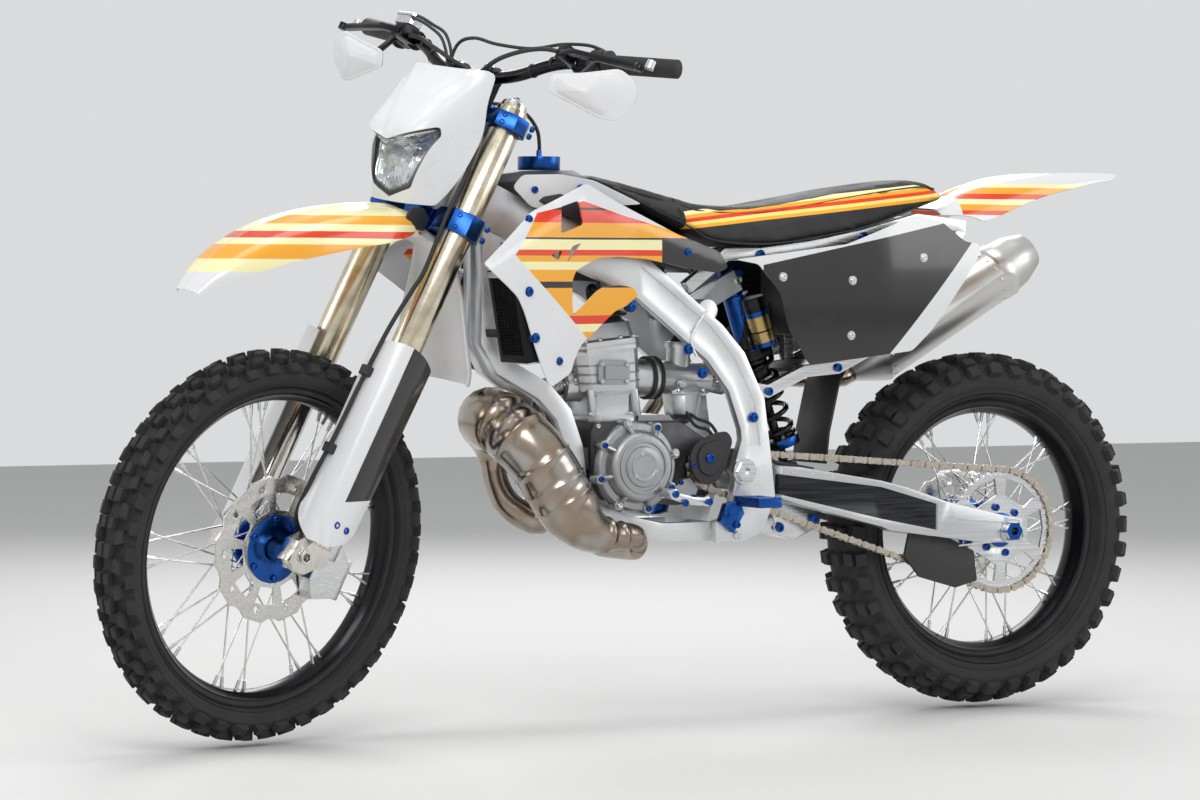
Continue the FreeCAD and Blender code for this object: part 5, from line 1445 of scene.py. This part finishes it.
def make_seat():
    """Seat with a softly swelled cover and piping along its seams."""
    form = Form().add(*capped(seat_rows()))
    piece = finish_piece(form, "seat", seat_print_finish(), "chassis", replaces=["seat"])
    piece.modifiers.new("remesh", "REMESH").voxel_size = 0.006
    graph = bpy.context.evaluated_depsgraph_get()
    mesh = bpy.data.meshes.new_from_object(piece.evaluated_get(graph))
    piece.modifiers.clear()
    piece.data = mesh
    shade_smoothly(mesh)
    swell(piece, 2.0, 0.0035)
    smooth = piece.modifiers.new("smooth", "SUBSURF")
    smooth.levels = 1
    smooth.render_levels = 1
    piping = Form()
    rows = seat_rows()
    for column in (4, 1):
        line = [row[column] + Vector((0, 1.2, 0.4)) for row in rows[2:-3:3]]
        piping.add(*swept(line, 1.5, 6, 3))
    lift = Vector((0, 0, 0.8))
    seam = [rows[20][k] + (lift if 5 <= k <= 10 else Vector()) for k in range(2, 14)]
    center = middle_of(seam)
    piping.add(*swept([p + (p - center).normalized() * 1.2 for p in seam], 1.2, 6, 3))
    piping.mirror()
    finish_piece(piping, "seat_piping", black_rubber, "chassis")


make_seat()


# Engine, exhaust and their small parts

def ring_about(center, y_profile, sides=64):
    """Form turned about a crosswise axis through a ground point, from (y, radius) points."""
    return moved(revolved(y_profile, sides), (center[0], 0, center[1]))


def coil(start, end, radius, wire, windings):
    """Small wound spring between two points, with a hook at each end."""
    start, end = Vector(start), Vector(end)
    axis = (end - start).normalized()
    across, along = square_to(axis, (0, 1, 0))
    count = windings * 8
    line = [start - axis * 8]
    for index in range(count + 1):
        angle = 2 * math.pi * index / 8
        out = across * math.cos(angle) + along * math.sin(angle)
        line.append(start + (end - start) * (index / count) + out * radius)
    line.append(end + axis * 8)
    return swept(line, wire, 6, 2)


def cylinder_ring(height, center_x, half_length, half_width, slope, grow=0.0, corner=16.0):
    """Chamfered ring around the cylinder, which falls towards the front by a slope."""
    plan = chamfered(half_length + grow, half_width + grow, corner)
    return [Vector((center_x + x, y, height - slope * x)) for x, y in plan]


def make_engine_details():
    """Bolts and ribs of the covers, fins, valve housings, water pump, plug lead and throttle cable."""
    cast_parts, silver, blues, dark = Form(), Form(), Form(), Form()
    for center, lugs, side, radius in (((792.0, 467.0), 8, 1, 80.0), ((768.0, 468.0), 9, -1, 82.0)):
        for index, angle in enumerate(turns(lugs, 0.35)):
            spot = around(center, radius - 1, side * 95.0, angle)
            (blues if index % 3 else silver).add(*bolt(spot, (0, side, 0), 5.6, 5.0))
            rib_in = around(center, radius - 27, side * 110, angle)
            rib_out = around(center, radius - 7, side * 92, angle)
            rib_top = rib_in.lerp(rib_out, 0.5) + Vector((0, side * 1.5, 0))
            cast_parts.add(*swept([rib_in, rib_top, rib_out], [3.0, 4.5, 6.0], 8, 3))
        for profile in ([(113.6, 49), (116.4, 48), (116.4, 44), (113.6, 43)],
                        [(117.8, 0.2), (117.8, 27), (119.6, 26), (119.6, 22), (118.6, 21), (118.6, 0.2)]):
            cast_parts.add(*ring_about(center, [(side * y, r) for y, r in profile]))
        for angle in turns(3, 0.1):
            silver.add(*bolt(around(center, 24, side * 117.6, angle), (0, side, 0), 3.2, 3.2))
    for height in (616, 632, 648):
        center_x = 822 + (height - 602) * 0.08
        cast_parts.add(*capped([cylinder_ring(height + rise, center_x, 62, 54, 0.06, grow)
                                for rise, grow in ((-1.6, 0.4), (-1.0, 2.8), (1.0, 2.8), (1.6, 0.4))]))
    valve = [(796, 612), (850, 612), (856, 620), (856, 648), (848, 656), (800, 656), (792, 648), (792, 620)]
    lid = [(804, 622), (844, 622), (844, 646), (804, 646)]
    for side in (-1, 1):
        cast_parts.add(*plate(valve, *sorted((side * 53.0, side * 62.0))))
        cast_parts.add(*plate(lid, *sorted((side * 61.0, side * 65.0))))
        for x, z in ((799, 619), (850, 619), (850, 649), (799, 649)):
            silver.add(*bolt((x, side * 62.0, z), (0, side, 0), 4.0, 4.0))
        for x in (778, 806, 848, 878):
            spot = (x, side * 50.0, 691.5 - 0.106 * (x - 828))
            silver.add(*bolt(spot, (0, 0, 1), 6.0, 6.5))
        for x in (784, 868):
            silver.add(*bolt((x, side * 54.0, 558), (0, 0, 1), 5.0, 5.0))
    for x, z in ((868, 532), (868, 446), (846, 408), (704, 397), (640, 402)):
        for side in (1, -1):
            silver.add(*bolt((x - 7, side * 68.0, z + 7), (0, side, 0), 4.6, 4.5))
    cast_parts.add(*plate([(690, 545.5), (700, 556), (764, 556), (764, 545.5)], -44, 44))
    cast_parts.add(*plate([(700, 440), (716, 420), (700, 400), (672, 404), (664, 424), (680, 444)], 68.2, 88))
    for x, z in ((700, 436), (706, 410), (674, 410)):
        blues.add(*bolt((x, 88.0, z), (0, 1, 0), 4.6, 4.5))
    pump = (846.0, 432.0)
    cast_parts.add(*ring_about(pump, [(-96.0, 23.5), (-101.0, 22), (-103.0, 14), (-103.0, 0.2)], 40))
    for angle in turns(3):
        silver.add(*bolt(around(pump, 18, -99.0, angle), (0, -1, 0), 3.6, 4.0))
    plug_cap = [(830, 0, 757), (834, 0, 768), (838, 2, 780), (842, 12, 784)]
    dark.add(*swept(plug_cap, [13, 12, 11, 9], 16, 4))
    plug_lead = [(842, 10, 784), (848, 34, 782), (856, 60, 782), (864, 68, 800), (880, 67, 830),
                 (920, 64, 862)]
    dark.add(*swept(plug_lead, 3.6, 8, 5))
    dark.add(*capped([cylinder_ring(731.8, 831, 54, 46, 0.106, -2),
                      cylinder_ring(736.0, 831, 54, 46, 0.106, -3),
                      cylinder_ring(741.0, 832, 46, 38, 0.106, -4)]))
    throttle_cable = [(656, 0, 686), (658, 8, 704), (676, 34, 742), (720, 62, 775), (800, 70, 800),
                      (900, 66, 850)]
    dark.add(*swept(throttle_cable, [6.5, 4.5, 3.6, 3.6, 3.6, 3.6], 8, 5))
    finish_piece(cast_parts, "engine_castings", covers, "chassis", bevel=1.0)
    finish_piece(silver, "engine_bolts", machined, "chassis", bevel=0.4)
    finish_piece(blues, "engine_blue_bolts", blue, "chassis", bevel=0.4)
    finish_piece(dark, "engine_leads", black_rubber, "chassis")


make_engine_details()


def make_carburettor_details():
    """Bowl, top and screws of the carburettor, its boots and overflow hoses."""
    metal_parts, screws, boots = Form(), Form(), Form()
    bowl = [(545, 17, 19), (541, 13, 15), (538, 9, 11)]
    metal_parts.add(*capped([cylinder_ring(z, 648, a, b, 0, 0, 6) for z, a, b in bowl]))
    metal_parts.add(*drum((648, 0, 539), (648, 0, 530), 8, 6))
    metal_parts.add(*capped([cylinder_ring(592, 648, 33, 38, 0), cylinder_ring(597, 648, 33, 38, 0)]))
    for x in (622, 674):
        for y in (-34, 34):
            screws.add(*bolt((x, y, 597), (0, 0, 1), 4.0, 5.0))
    for y, turn in ((30.5, 1), (-30.5, -1)):
        metal_parts.add(*drum((668, y, 612), (668, y + turn * 10, 612), 8.5, 20, 7.5))
        screws.add(*drum((668, y + turn * 9.5, 612), (668, y + turn * 13, 612), 5.0, 12, 4.4))
    boots.add(*swept([(656, 0, 684), (656, 0, 690), (656, 0, 700)], [15, 13, 7], 20, 3))
    for x in (704, 720):
        boots.add(*drum((x, 0, 622), (x + 7, 0, 622), 39.5, 40, bore=34.2))
    for overflow in ([(648, 32, 556), (640, 44, 548), (622, 56, 540), (612, 66, 522), (606, 76, 500)],
                     [(656, 32, 560), (646, 46, 536), (628, 62, 528), (618, 74, 508)]):
        boots.add(*swept(overflow, 3.2, 8, 5))
    finish_piece(metal_parts, "carburettor_castings", cast, "chassis", bevel=0.8)
    finish_piece(screws, "carburettor_screws", machined, "chassis", bevel=0.3)
    finish_piece(boots, "carburettor_boots", black_rubber, "chassis", bevel=0.4)


make_carburettor_details()


def make_exhaust_details():
    """Springs at both joints of the exhaust, rivets around the silencer and its outlet."""
    springs, rivets, outlet = Form(), Form(), Form()
    for side in (-1, 1):
        springs.add(*coil((884, side * 35, 622), (914, side * 26, 610), 3.8, 1.1, 6))
    springs.add(*coil((206, -164, 616), (182, -166, 630), 3.6, 1.0, 5))
    finish_piece(springs, "exhaust_springs", spoke_steel, "chassis")
    course = Vector((-16, 0, 8.8))
    inlet = Vector((190, -148, 622)) + course * 0.033
    body_start = Vector((-52, 0, 30))
    body = Vector((-320, 0, 184)) - body_start
    across = Vector((0, 1, 0))
    along = body.normalized().cross(across)
    for share in (0.035, 0.965):
        center = inlet + body_start + body * share
        for angle in turns(14):
            out = across * math.cos(angle) + along * math.sin(angle)
            rivets.add(*bolt(center + out * 53.4, out, 3.4, 1.8))
    finish_piece(rivets, "silencer_rivets", machined, "chassis")
    mouth = inlet + Vector((-404, 0, 234))
    rearward = course.normalized()
    outlet.add(*drum(mouth - rearward * 30, mouth + rearward * 2.0, 21.6, 40, bore=18.5))
    finish_piece(outlet, "silencer_outlet", bare_steel, "chassis", bevel=0.5)


make_exhaust_details()


def make_cooling():
    """Radiator fins between the CAD slats, tank seams, caps and the hoses to the engine."""
    fins, tanks, hoses, clips = Form(), Form(), Form(), Form()
    for k in range(34):
        t = (k + 0.5) / 34
        x, z = 1071.5 + 22 * t, 668 + 133 * t
        fin = [(x - 9, z - 0.5), (x + 3, z - 0.9), (x + 3, z + 0.1), (x - 9, z + 0.5)]
        fins.add(*plate(fin, 104.5, 179.5))
    for x, z, lift in ((1056, 657, 10), (1084, 806, 12)):
        tank = [(x - 15, z - 1), (x + 13, z - 4), (x + 14, z + lift - 4), (x - 14, z + lift)]
        tanks.add(*plate(tank, 93, 190.5))
    fins.mirror()
    tanks.mirror()
    finish_piece(fins, "radiator_fins", radiator_black, "chassis")
    finish_piece(tanks, "radiator_tanks", machined, "chassis", bevel=2.0)
    upper_hose = [(890, -38, 710), (912, -52, 722), (948, -78, 752), (1000, -100, 790),
                  (1060, -112, 806)]
    hoses.add(*swept(upper_hose, [13, 14, 14, 14, 14], 16, 5))
    lower_hose = [(846, -94, 452), (858, -104, 490), (888, -118, 548), (940, -124, 612),
                  (1006, -122, 648), (1052, -116, 660)]
    hoses.add(*swept(lower_hose, 13, 16, 5))
    for spot, ahead in (((900, -44, 715), (0.8, -0.45, 0.4)), ((1050, -110, 804), (0.9, -0.2, 0.3)),
                        ((850, -97, 466), (0.25, -0.2, 1.0)), ((1030, -119, 656), (0.95, 0.1, 0.25))):
        direction = Vector(ahead).normalized() * 4
        clips.add(*drum(Vector(spot) - direction, Vector(spot) + direction, 15.6, 24, bore=13.4))
    finish_piece(hoses, "coolant_hoses", black_rubber, "chassis")
    finish_piece(clips, "hose_clips", machined, "chassis", bevel=0.3)


make_cooling()


def make_chassis_details():
    """Bolts of the frame, subframe, linkage and pegs; sprocket cover, chain slider and welds."""
    blues, silver, dark, welds = Form(), Form(), Form(), Form()
    for x, z, r in ((818, 754, 7.5), (700, 676, 7.0), (671, 633, 7.0), (562, 552, 6.0)):
        blues.add(*drum((x, spar_face - 0.5, z), (x, spar_face + 2.0, z), r + 3.5, 24, r + 3))
        blues.add(*bolt((x, spar_face + 1.6, z), (0, 1, 0), r, 5.0))
    for x, y, z in ((612, spar_face, 357), (596, spar_face, 340), (1008, 60.0, 871), (985, 60.0, 846)):
        silver.add(*bolt((x, y, z), (0, 1, 0), 7.5, 5.0))
    for x, z in ((372, 640), (520, 598), (585, 610), (540, 847), (318, 881)):
        blues.add(*bolt((x, 94.0, z), (0, 1, 0), 8.0, 6.0))
    x, z = swingarm_pivot
    silver.add(*drum((x, 117.5, z), (x, 124, z), 20, 6, 19, bore=8))
    silver.add(*drum((x, spar_face, z), (x, 118.0, z), 24, 32, bore=11))
    silver.add(*drum((x, -124, z), (x, -117.5, z), 20, 6, 19, bore=8))
    cover = [(690, 486), (676, 508), (640, 524), (612, 528), (600, 512), (612, 470), (630, 436),
             (660, 430), (684, 452)]
    raised = [(676, 484), (664, 504), (632, 512), (616, 500), (628, 462), (648, 446), (670, 456)]
    dark.add(*plate(rounded(cover, 14), 97.5, 103.0))
    dark.add(*plate(rounded(raised, 12), 102.5, 107.0))
    blues.add(*bolt((650, 106.6, 480), (0, 1, 0), 9.0, 5.0))
    blues.add(*bolt((684, 102.6, 468), (0, 1, 0), 5.0, 4.5))
    slider = [(608, 492), (560, 498), (500, 472), (420, 458), (420, 453), (500, 466), (560, 492),
              (606, 487)]
    dark.add(*plate(slider, 72, 92))
    blues.add(*drum((0, 118.5, rear_radius), (0, 130.5, rear_radius), 19.5, 6, 18.5, bore=8.3))
    silver.add(*drum((0, 118.4, rear_radius), (0, 120.5, rear_radius), 24, 32, bore=12))
    for side in (-1, 1):
        blues.add(*bolt((-26, side * 105.0, rear_radius), (-1, 0, 0), 5.0, 6.0))
        strip = [(118, 26), (18, 19), (18, 16), (118, 23)]
        silver.add(*plate([(x, rear_radius + side * rise) for x, rise in strip], 118, 119.4))
    for index in range(5):
        welds.add(*bolt((300 + index * 44, 107.0, 432.5 + index * 4.5), (0, 1, 0), 2.0, 1.2))
    for x, y, z in ((716, 131.0, 402), (753, 160.0, 420)):
        blues.add(*bolt((x, y, z), (0, 1, 0), 7.0, 4.0))
    blues.add(*bolt((666, 131.0, 403), (0, 1, 0), 6.5, 5.0))
    for side in (-1, 1):
        for x, z in ((606, 360), (628, 378)):
            blues.add(*bolt((x, side * 128.0, z), (0, side, 0), 6.5, 5.0))
        blues.add(*bolt((424, side * 18.0, 452), (0, side, 0), 9.0, 6.0))
        blues.add(*bolt((455, side * 28.0, 345), (0, side, 0), 9.0, 6.0))
        blues.add(*bolt((380, side * 28.0, 360), (0, side, 0), 9.0, 6.0))
        silver.add(*bolt((546, side * 27.0, 800), (0, side, 0), 8.5, 5.0))
    seam = spar_seam(684, 716)
    for side in (-1, 1):
        welds.add(*swept([Vector((x, side * 112.6, z)) for x, z in seam], 2.6, 8, 4))
    finish_piece(blues, "frame_blue_bolts", blue, "chassis", bevel=0.4)
    finish_piece(silver, "frame_bolts", machined, "chassis", bevel=0.4)
    finish_piece(dark, "sprocket_cover", guide_black, "chassis", bevel=1.2)
    finish_piece(welds, "frame_welds", frame_paint, "chassis")


def spar_seam(low_x, high_x):
    """Weld line across the left spar, below its bend."""
    return [(low_x, 664), (low_x + (high_x - low_x) * 0.35, 690), (low_x - 4, 722), (low_x - 22, 744)]


make_chassis_details()


def cowl_face(x, z):
    """Surface of the cowl, wider towards its rear and crowned in height."""
    return (x, 70 + (1046 - x) * 0.17 + 6 * (1 - ((z - 950) / 36) ** 2), z)


def make_cowl():
    """White cowl between the steering head and the shroud, on each side."""
    outline = [(1040, 962), (1020, 984), (950, 986), (890, 976), (800, 934), (866, 930), (926, 930),
               (968, 920), (1006, 928)]
    form = Form().add(*panel(outline, cowl_face, 9.0, (), 9.0))
    form.mirror()
    finish_piece(form, "tank_cowl", white_plastic, "chassis", solid=3.0, bevel=0.8,
                 angle=35)
    bolts = Form()
    for x, z, finish_y in ((1000, 958, 82), (916, 962, 97)):
        bolts.add(*bolt((x, finish_y + 1, z), (0, 1, 0), 6.5, 5.0))
    bolts.mirror()
    finish_piece(bolts, "cowl_bolts", blue, "chassis", bevel=0.4)


make_cowl()


# Bars, cables and fork details

riser_gauge = 42.0
fork_top = upper_clamp + 26.0


def bar_line(y):
    """Middle of the handlebar at a distance from the middle plane, on either side."""
    points = [bar_point(*p) for p in (bar_middle, bar_rise, bar_bend, bar_end)]
    side = 1 if y >= 0 else -1
    for start, end in zip(points, points[1:]):
        if abs(y) <= end.y or end is points[-1]:
            spot = start + (end - start) * ((abs(y) - start.y) / (end.y - start.y))
            return Vector((spot.x, side * spot.y, spot.z))


def pod(low, high, width, height, rise=0.0, corner=7.0):
    """Housing clamped around the bar between two distances from the middle plane."""
    rows = []
    for share, scale in ((0.0, 0.86), (0.12, 1.0), (0.88, 1.0), (1.0, 0.86)):
        center = bar_line(low + (high - low) * share)
        ring = chamfered(width / 2 * scale, height / 2 * scale, corner)
        rows.append([center + Vector((p, 0, q + rise)) for p, q in ring])
    return capped(rows)


def make_bar_controls():
    """Switches, stop button, brake tank, clamp bolts, lever ends and cables of the bars."""
    black_parts, silver, red_parts, cables = Form(), Form(), Form(), Form()
    black_parts.add(*pod(244, 268.6, 42, 40, 1.0))
    black_parts.add(*pod(-244, -268.6, 36, 38, 0.0))
    black_parts.add(*pod(-248, -264, 24, 24, 20.0, 5.0))
    top = bar_line(256) + Vector((0, 0, 20))
    red_parts.add(*drum(top, top + Vector((2, 0, 5.5)), 5.2, 20, 4.6))
    silver.add(*drum(top - Vector((12, 0, 2)), top + Vector((-12, 0, 3)), 3.6, 16))
    silver.add(*bolt(bar_line(256) + Vector((21.5, 0, 4)), (1, 0, 0), 3.6, 2.4))
    tank = bar_line(-226) + Vector((26, 0, 20))
    levels = [(-12, -4), (-6, 0), (8, 0), (9, 2), (13, 2), (14.5, 0)]
    silver.add(*capped([[tank + Vector((p, q, rise)) for p, q in chamfered(15 + grow, 24 + grow, 5)]
                        for rise, grow in levels]))
    for q in (-17, 17):
        silver.add(*bolt(tank + Vector((0, q, 14.5)), (0, 0, 1), 3.2, 2.2))
    for side in (-1, 1):
        perch = bar_line(side * 226)
        for rise in (-10, 10):
            silver.add(*bolt(perch + Vector((19.5, 0, rise)), (1, 0, 0), 3.6, 3.4))
        for gauge in (-9, 9):
            for ahead in (-12.5, 12.5):
                spot = bar_point(bar_middle[0] + ahead, side * riser_gauge + gauge, bar_middle[2] + 13.5)
                silver.add(*bolt(spot, (0, 0, 1), 4.4, 6.0))
        lever_tip = bar_line(side * 388) + Vector((38, 0, -14))
        silver.add(*drum(lever_tip - Vector((0, 0, 7)), lever_tip + Vector((0, 0, 8)), 9.2, 24, 8.4))
    runs = [[(14, -256, 142), (28, -253, 150), (46, -236, 154), (62, -196, 149), (74, -136, 132),
             (78, -82, 112), (72, -44, 60), (64, -26, -30)],
            [(24, -258, 138), (38, -253, 145), (56, -230, 147), (72, -186, 139), (84, -126, 122),
             (88, -74, 98), (80, -38, 46), (72, -18, -36)],
            [(66, 208, 116), (84, 176, 110), (96, 132, 92), (98, 86, 66), (88, 50, 26), (70, 34, -50)],
            [(30, 262, 144), (40, 232, 146), (58, 190, 134), (74, 138, 112), (92, 70, 104), (96, 10, 108),
             (88, -34, 92), (74, -40, 30), (66, -34, -40)]]
    for run, thick in zip(runs, (3.0, 3.0, 4.2, 3.2)):
        cables.add(*swept([bar_point(*p) for p in run], thick, 8, 6))
    for side in (-1, 1):
        for y in (132, 170):
            center = bar_line(side * y)
            cables.add(*drum(center - Vector((0, 3.5, 0)), center + Vector((0, 3.5, 0)), 12.4, 20, bore=10.9))
    finish_piece(black_parts, "bar_switches", black_plastic, "steering", from_head,
                 bevel=1.2)
    finish_piece(silver, "bar_fittings", machined, "steering", from_head,
                 bevel=0.5)
    finish_piece(red_parts, "stop_button", red_plastic, "steering", from_head, bevel=0.5)
    finish_piece(cables, "bar_cables", black_rubber, "steering", from_head)


red_plastic = moulded("red_plastic", (0.55, 0.03, 0.02), 0.35)
make_bar_controls()


def make_fork_details():
    """Fork caps, pinch bolts of the clamps, axle nut, hose with its clips and the strap under the mask."""
    silver, blues, dark = Form(), Form(), Form()
    y = fork_spacing / 2
    cap_foot = fork_top + 8
    for radius, low, high in ((24.0, -1.0, 5.0), (17.0, 5.0, 9.0)):
        silver.add(*drum((fork_offset, y, cap_foot + low), (fork_offset, y, cap_foot + high), radius, 32,
                         radius - 1.5))
    silver.add(*drum((fork_offset, y, cap_foot + 9), (fork_offset, y, cap_foot + 14), 8.5, 6, 8.0))
    blues.add(*drum((fork_offset, y, cap_foot + 14), (fork_offset, y, cap_foot + 17), 4.5, 16, 4.0))
    for height in (lower_clamp - 11, lower_clamp + 11, upper_clamp - 7, upper_clamp + 7):
        blues.add(*bolt((fork_offset - 24, y + 36, height), (-0.55, 1, 0), 6.0, 6.5))
        blues.add(*bolt((fork_offset + 26, y + 18, height), (1, 0.55, 0), 5.0, 4.5))
    hub = fork_offset + axle_lead
    silver.add(*drum((hub, 118.5, axle_height), (hub, 123.0, axle_height), 13.5, 6, 12.5, bore=8.2))
    for rise in (-19, 19):
        for side_y in (84, 102):
            blues.add(*bolt((hub - 24, side_y, axle_height + rise * 0.6), (-1, 0, 0), 4.5, 5.0))
    for form in (silver, blues):
        form.mirror()
    silver.add(*drum((0, 0, clamp_top - 0.4), (0, 0, clamp_top + 10), 17.5, 32, 16.5, bore=8.0))
    low = axle_height
    hose = [(-62, 62, low + 84), (-34, 58, low + 54), (14, 56, low + 40), (60, 62, low + 62),
            (79, 80, low + 122), (81, 92, low + 220), (80, 95, low + 320), (76, 99, low + 420), (66, 103, low + 500),
            (60, 104, 900), (63, 101, 1006), (58, 98, 1091), (62, 92, 1156), (74, 86, 1206), (82, 40, 1256),
            (86, -40, 1282), (80, -116, 1306), (62, -166, 1322), (60, -200.7, 1325)]
    finish_piece(Form().add(*swept(hose, 4.0, 12, 6)), "front_brake_hose", black_rubber, "steering",
                 from_head, replaces=["front_brake_hose"])
    for v, side_y, height in ((79, 94, low + 338), (80, 90, low + 190)):
        dark.add(*plate([(v - 9, height - 9), (v + 7, height - 9), (v + 7, height + 9), (v - 9, height + 9)],
                        side_y - 10, side_y + 9))
    dark.add(*plate([(64, 965), (96, 955), (112, 968), (110, 990), (84, 1000), (62, 990)], 58, 64))
    finish_piece(silver, "fork_caps", machined, "steering", from_head, bevel=0.6)
    finish_piece(blues, "fork_bolts", blue, "steering", from_head, bevel=0.4)
    finish_piece(dark, "hose_clamps", black_plastic, "steering", from_head, bevel=1.6)


make_fork_details()


def make_vent_hose():
    """Breather hose from the fuel cap forward to the top of the steering stem."""
    line = [(946, 0, 1022), (946, 1, 1040), (952, 3, 1066), (974, 5, 1092), (1008, 5, 1106), (1038, 3, 1110),
            (1058, 1, 1106), (1062, 0, 1102)]
    finish_piece(Form().add(*swept(line, 3.4, 10, 6)), "vent_hose", black_rubber, "chassis")


make_vent_hose()


# Camera, light and floor

def look(azimuth, elevation, distance, target, roll, focal_px):
    """Camera at the photograph's angle, for a frame of 1200 by 800 pixels."""
    a, e = math.radians(azimuth), math.radians(elevation)
    back = Vector((math.sin(a) * math.cos(e), -math.cos(a) * math.cos(e), math.sin(e)))
    right = (-back).cross(Vector((0, 0, 1))).normalized()
    up = right.cross(-back)
    r = math.radians(roll)
    across = right * math.cos(r) + up * math.sin(r)
    above = up * math.cos(r) - right * math.sin(r)
    data = bpy.data.cameras.new("camera")
    data.sensor_width = 36.0
    data.lens = focal_px / 1200.0 * data.sensor_width
    data.clip_end = 100.0
    camera = bpy.data.objects.new("camera", data)
    bpy.context.scene.collection.objects.link(camera)
    spot = ground(Vector(target) + back * distance)
    matrix = Matrix((across, above, back)).transposed().to_4x4()
    matrix.translation = spot
    camera.matrix_world = matrix
    bpy.context.scene.camera = camera


look(150.62, 2.01, 7719.9, (818.1, 0.0, 582.8), 0.355, 4290.0)


def area_light(name, spot, target, size, power):
    """Soft light that faces a target, with its size as width and height in metres."""
    data = bpy.data.lights.new(name, "AREA")
    data.shape = "RECTANGLE"
    data.size, data.size_y = size
    data.energy = power
    lamp = bpy.data.objects.new(name, data)
    bpy.context.scene.collection.objects.link(lamp)
    lamp.location = spot
    lamp.rotation_euler = (Vector(target) - Vector(spot)).to_track_quat("-Z", "Y").to_euler()


area_light("key", (2.6, 3.6, 2.6), (0.4, 0, -0.3), (2.4, 1.8), 88)
area_light("fill", (-3.4, 2.8, 1.2), (0, 0, -0.3), (2.6, 2.0), 42)
area_light("top", (0.2, 0.2, 3.2), (0.2, 0, -0.4), (3.0, 2.0), 55)
area_light("rim", (-1.5, -3.4, 1.8), (0.2, 0, -0.3), (2.6, 1.6), 60)
area_light("front", (4.2, -0.8, 0.8), (0.6, 0, -0.4), (1.6, 2.2), 28)

world = bpy.data.worlds.new("studio")
world.use_nodes = True
light_color, light_strength, backdrop_strength = (0.90, 0.91, 0.92, 1.0), 0.40, 0.78


def light_world():
    """Soft light from all around, seen as a paler backdrop by the camera and in metal and glass."""
    nodes, links = world.node_tree.nodes, world.node_tree.links
    background = nodes["Background"]
    background.inputs["Color"].default_value = light_color
    path = nodes.new("ShaderNodeLightPath")
    seen = path.outputs["Is Camera Ray"]
    for ray in ("Is Glossy Ray", "Is Transmission Ray"):
        either = nodes.new("ShaderNodeMath")
        either.operation = "MAXIMUM"
        links.new(seen, either.inputs[0])
        links.new(path.outputs[ray], either.inputs[1])
        seen = either.outputs[0]
    strength = nodes.new("ShaderNodeMapRange")
    strength.inputs["To Min"].default_value = light_strength
    strength.inputs["To Max"].default_value = backdrop_strength
    links.new(seen, strength.inputs["Value"])
    links.new(strength.outputs["Result"], background.inputs["Strength"])
    bpy.context.scene.world = world


light_world()
bpy.context.scene.view_settings.view_transform = "Standard"


def make_floor():
    """Large pale floor a little below the tyres."""
    material = Finish("floor", (0.78, 0.78, 0.77), 0.7)
    material.bump(material.noise(60.0, 3.0), 0.0004, 0.2)
    corners = [(-9000, -9000, -8), (11000, -9000, -8), (11000, 9000, -8), (-9000, 9000, -8)]
    mesh = bpy.data.meshes.new("floor")
    mesh.from_pydata([ground(corner) for corner in corners], [], [(0, 1, 2, 3)])
    floor = bpy.data.objects.new("floor", mesh)
    bpy.context.scene.collection.objects.link(floor)
    mesh.materials.append(material.material)


make_floor()
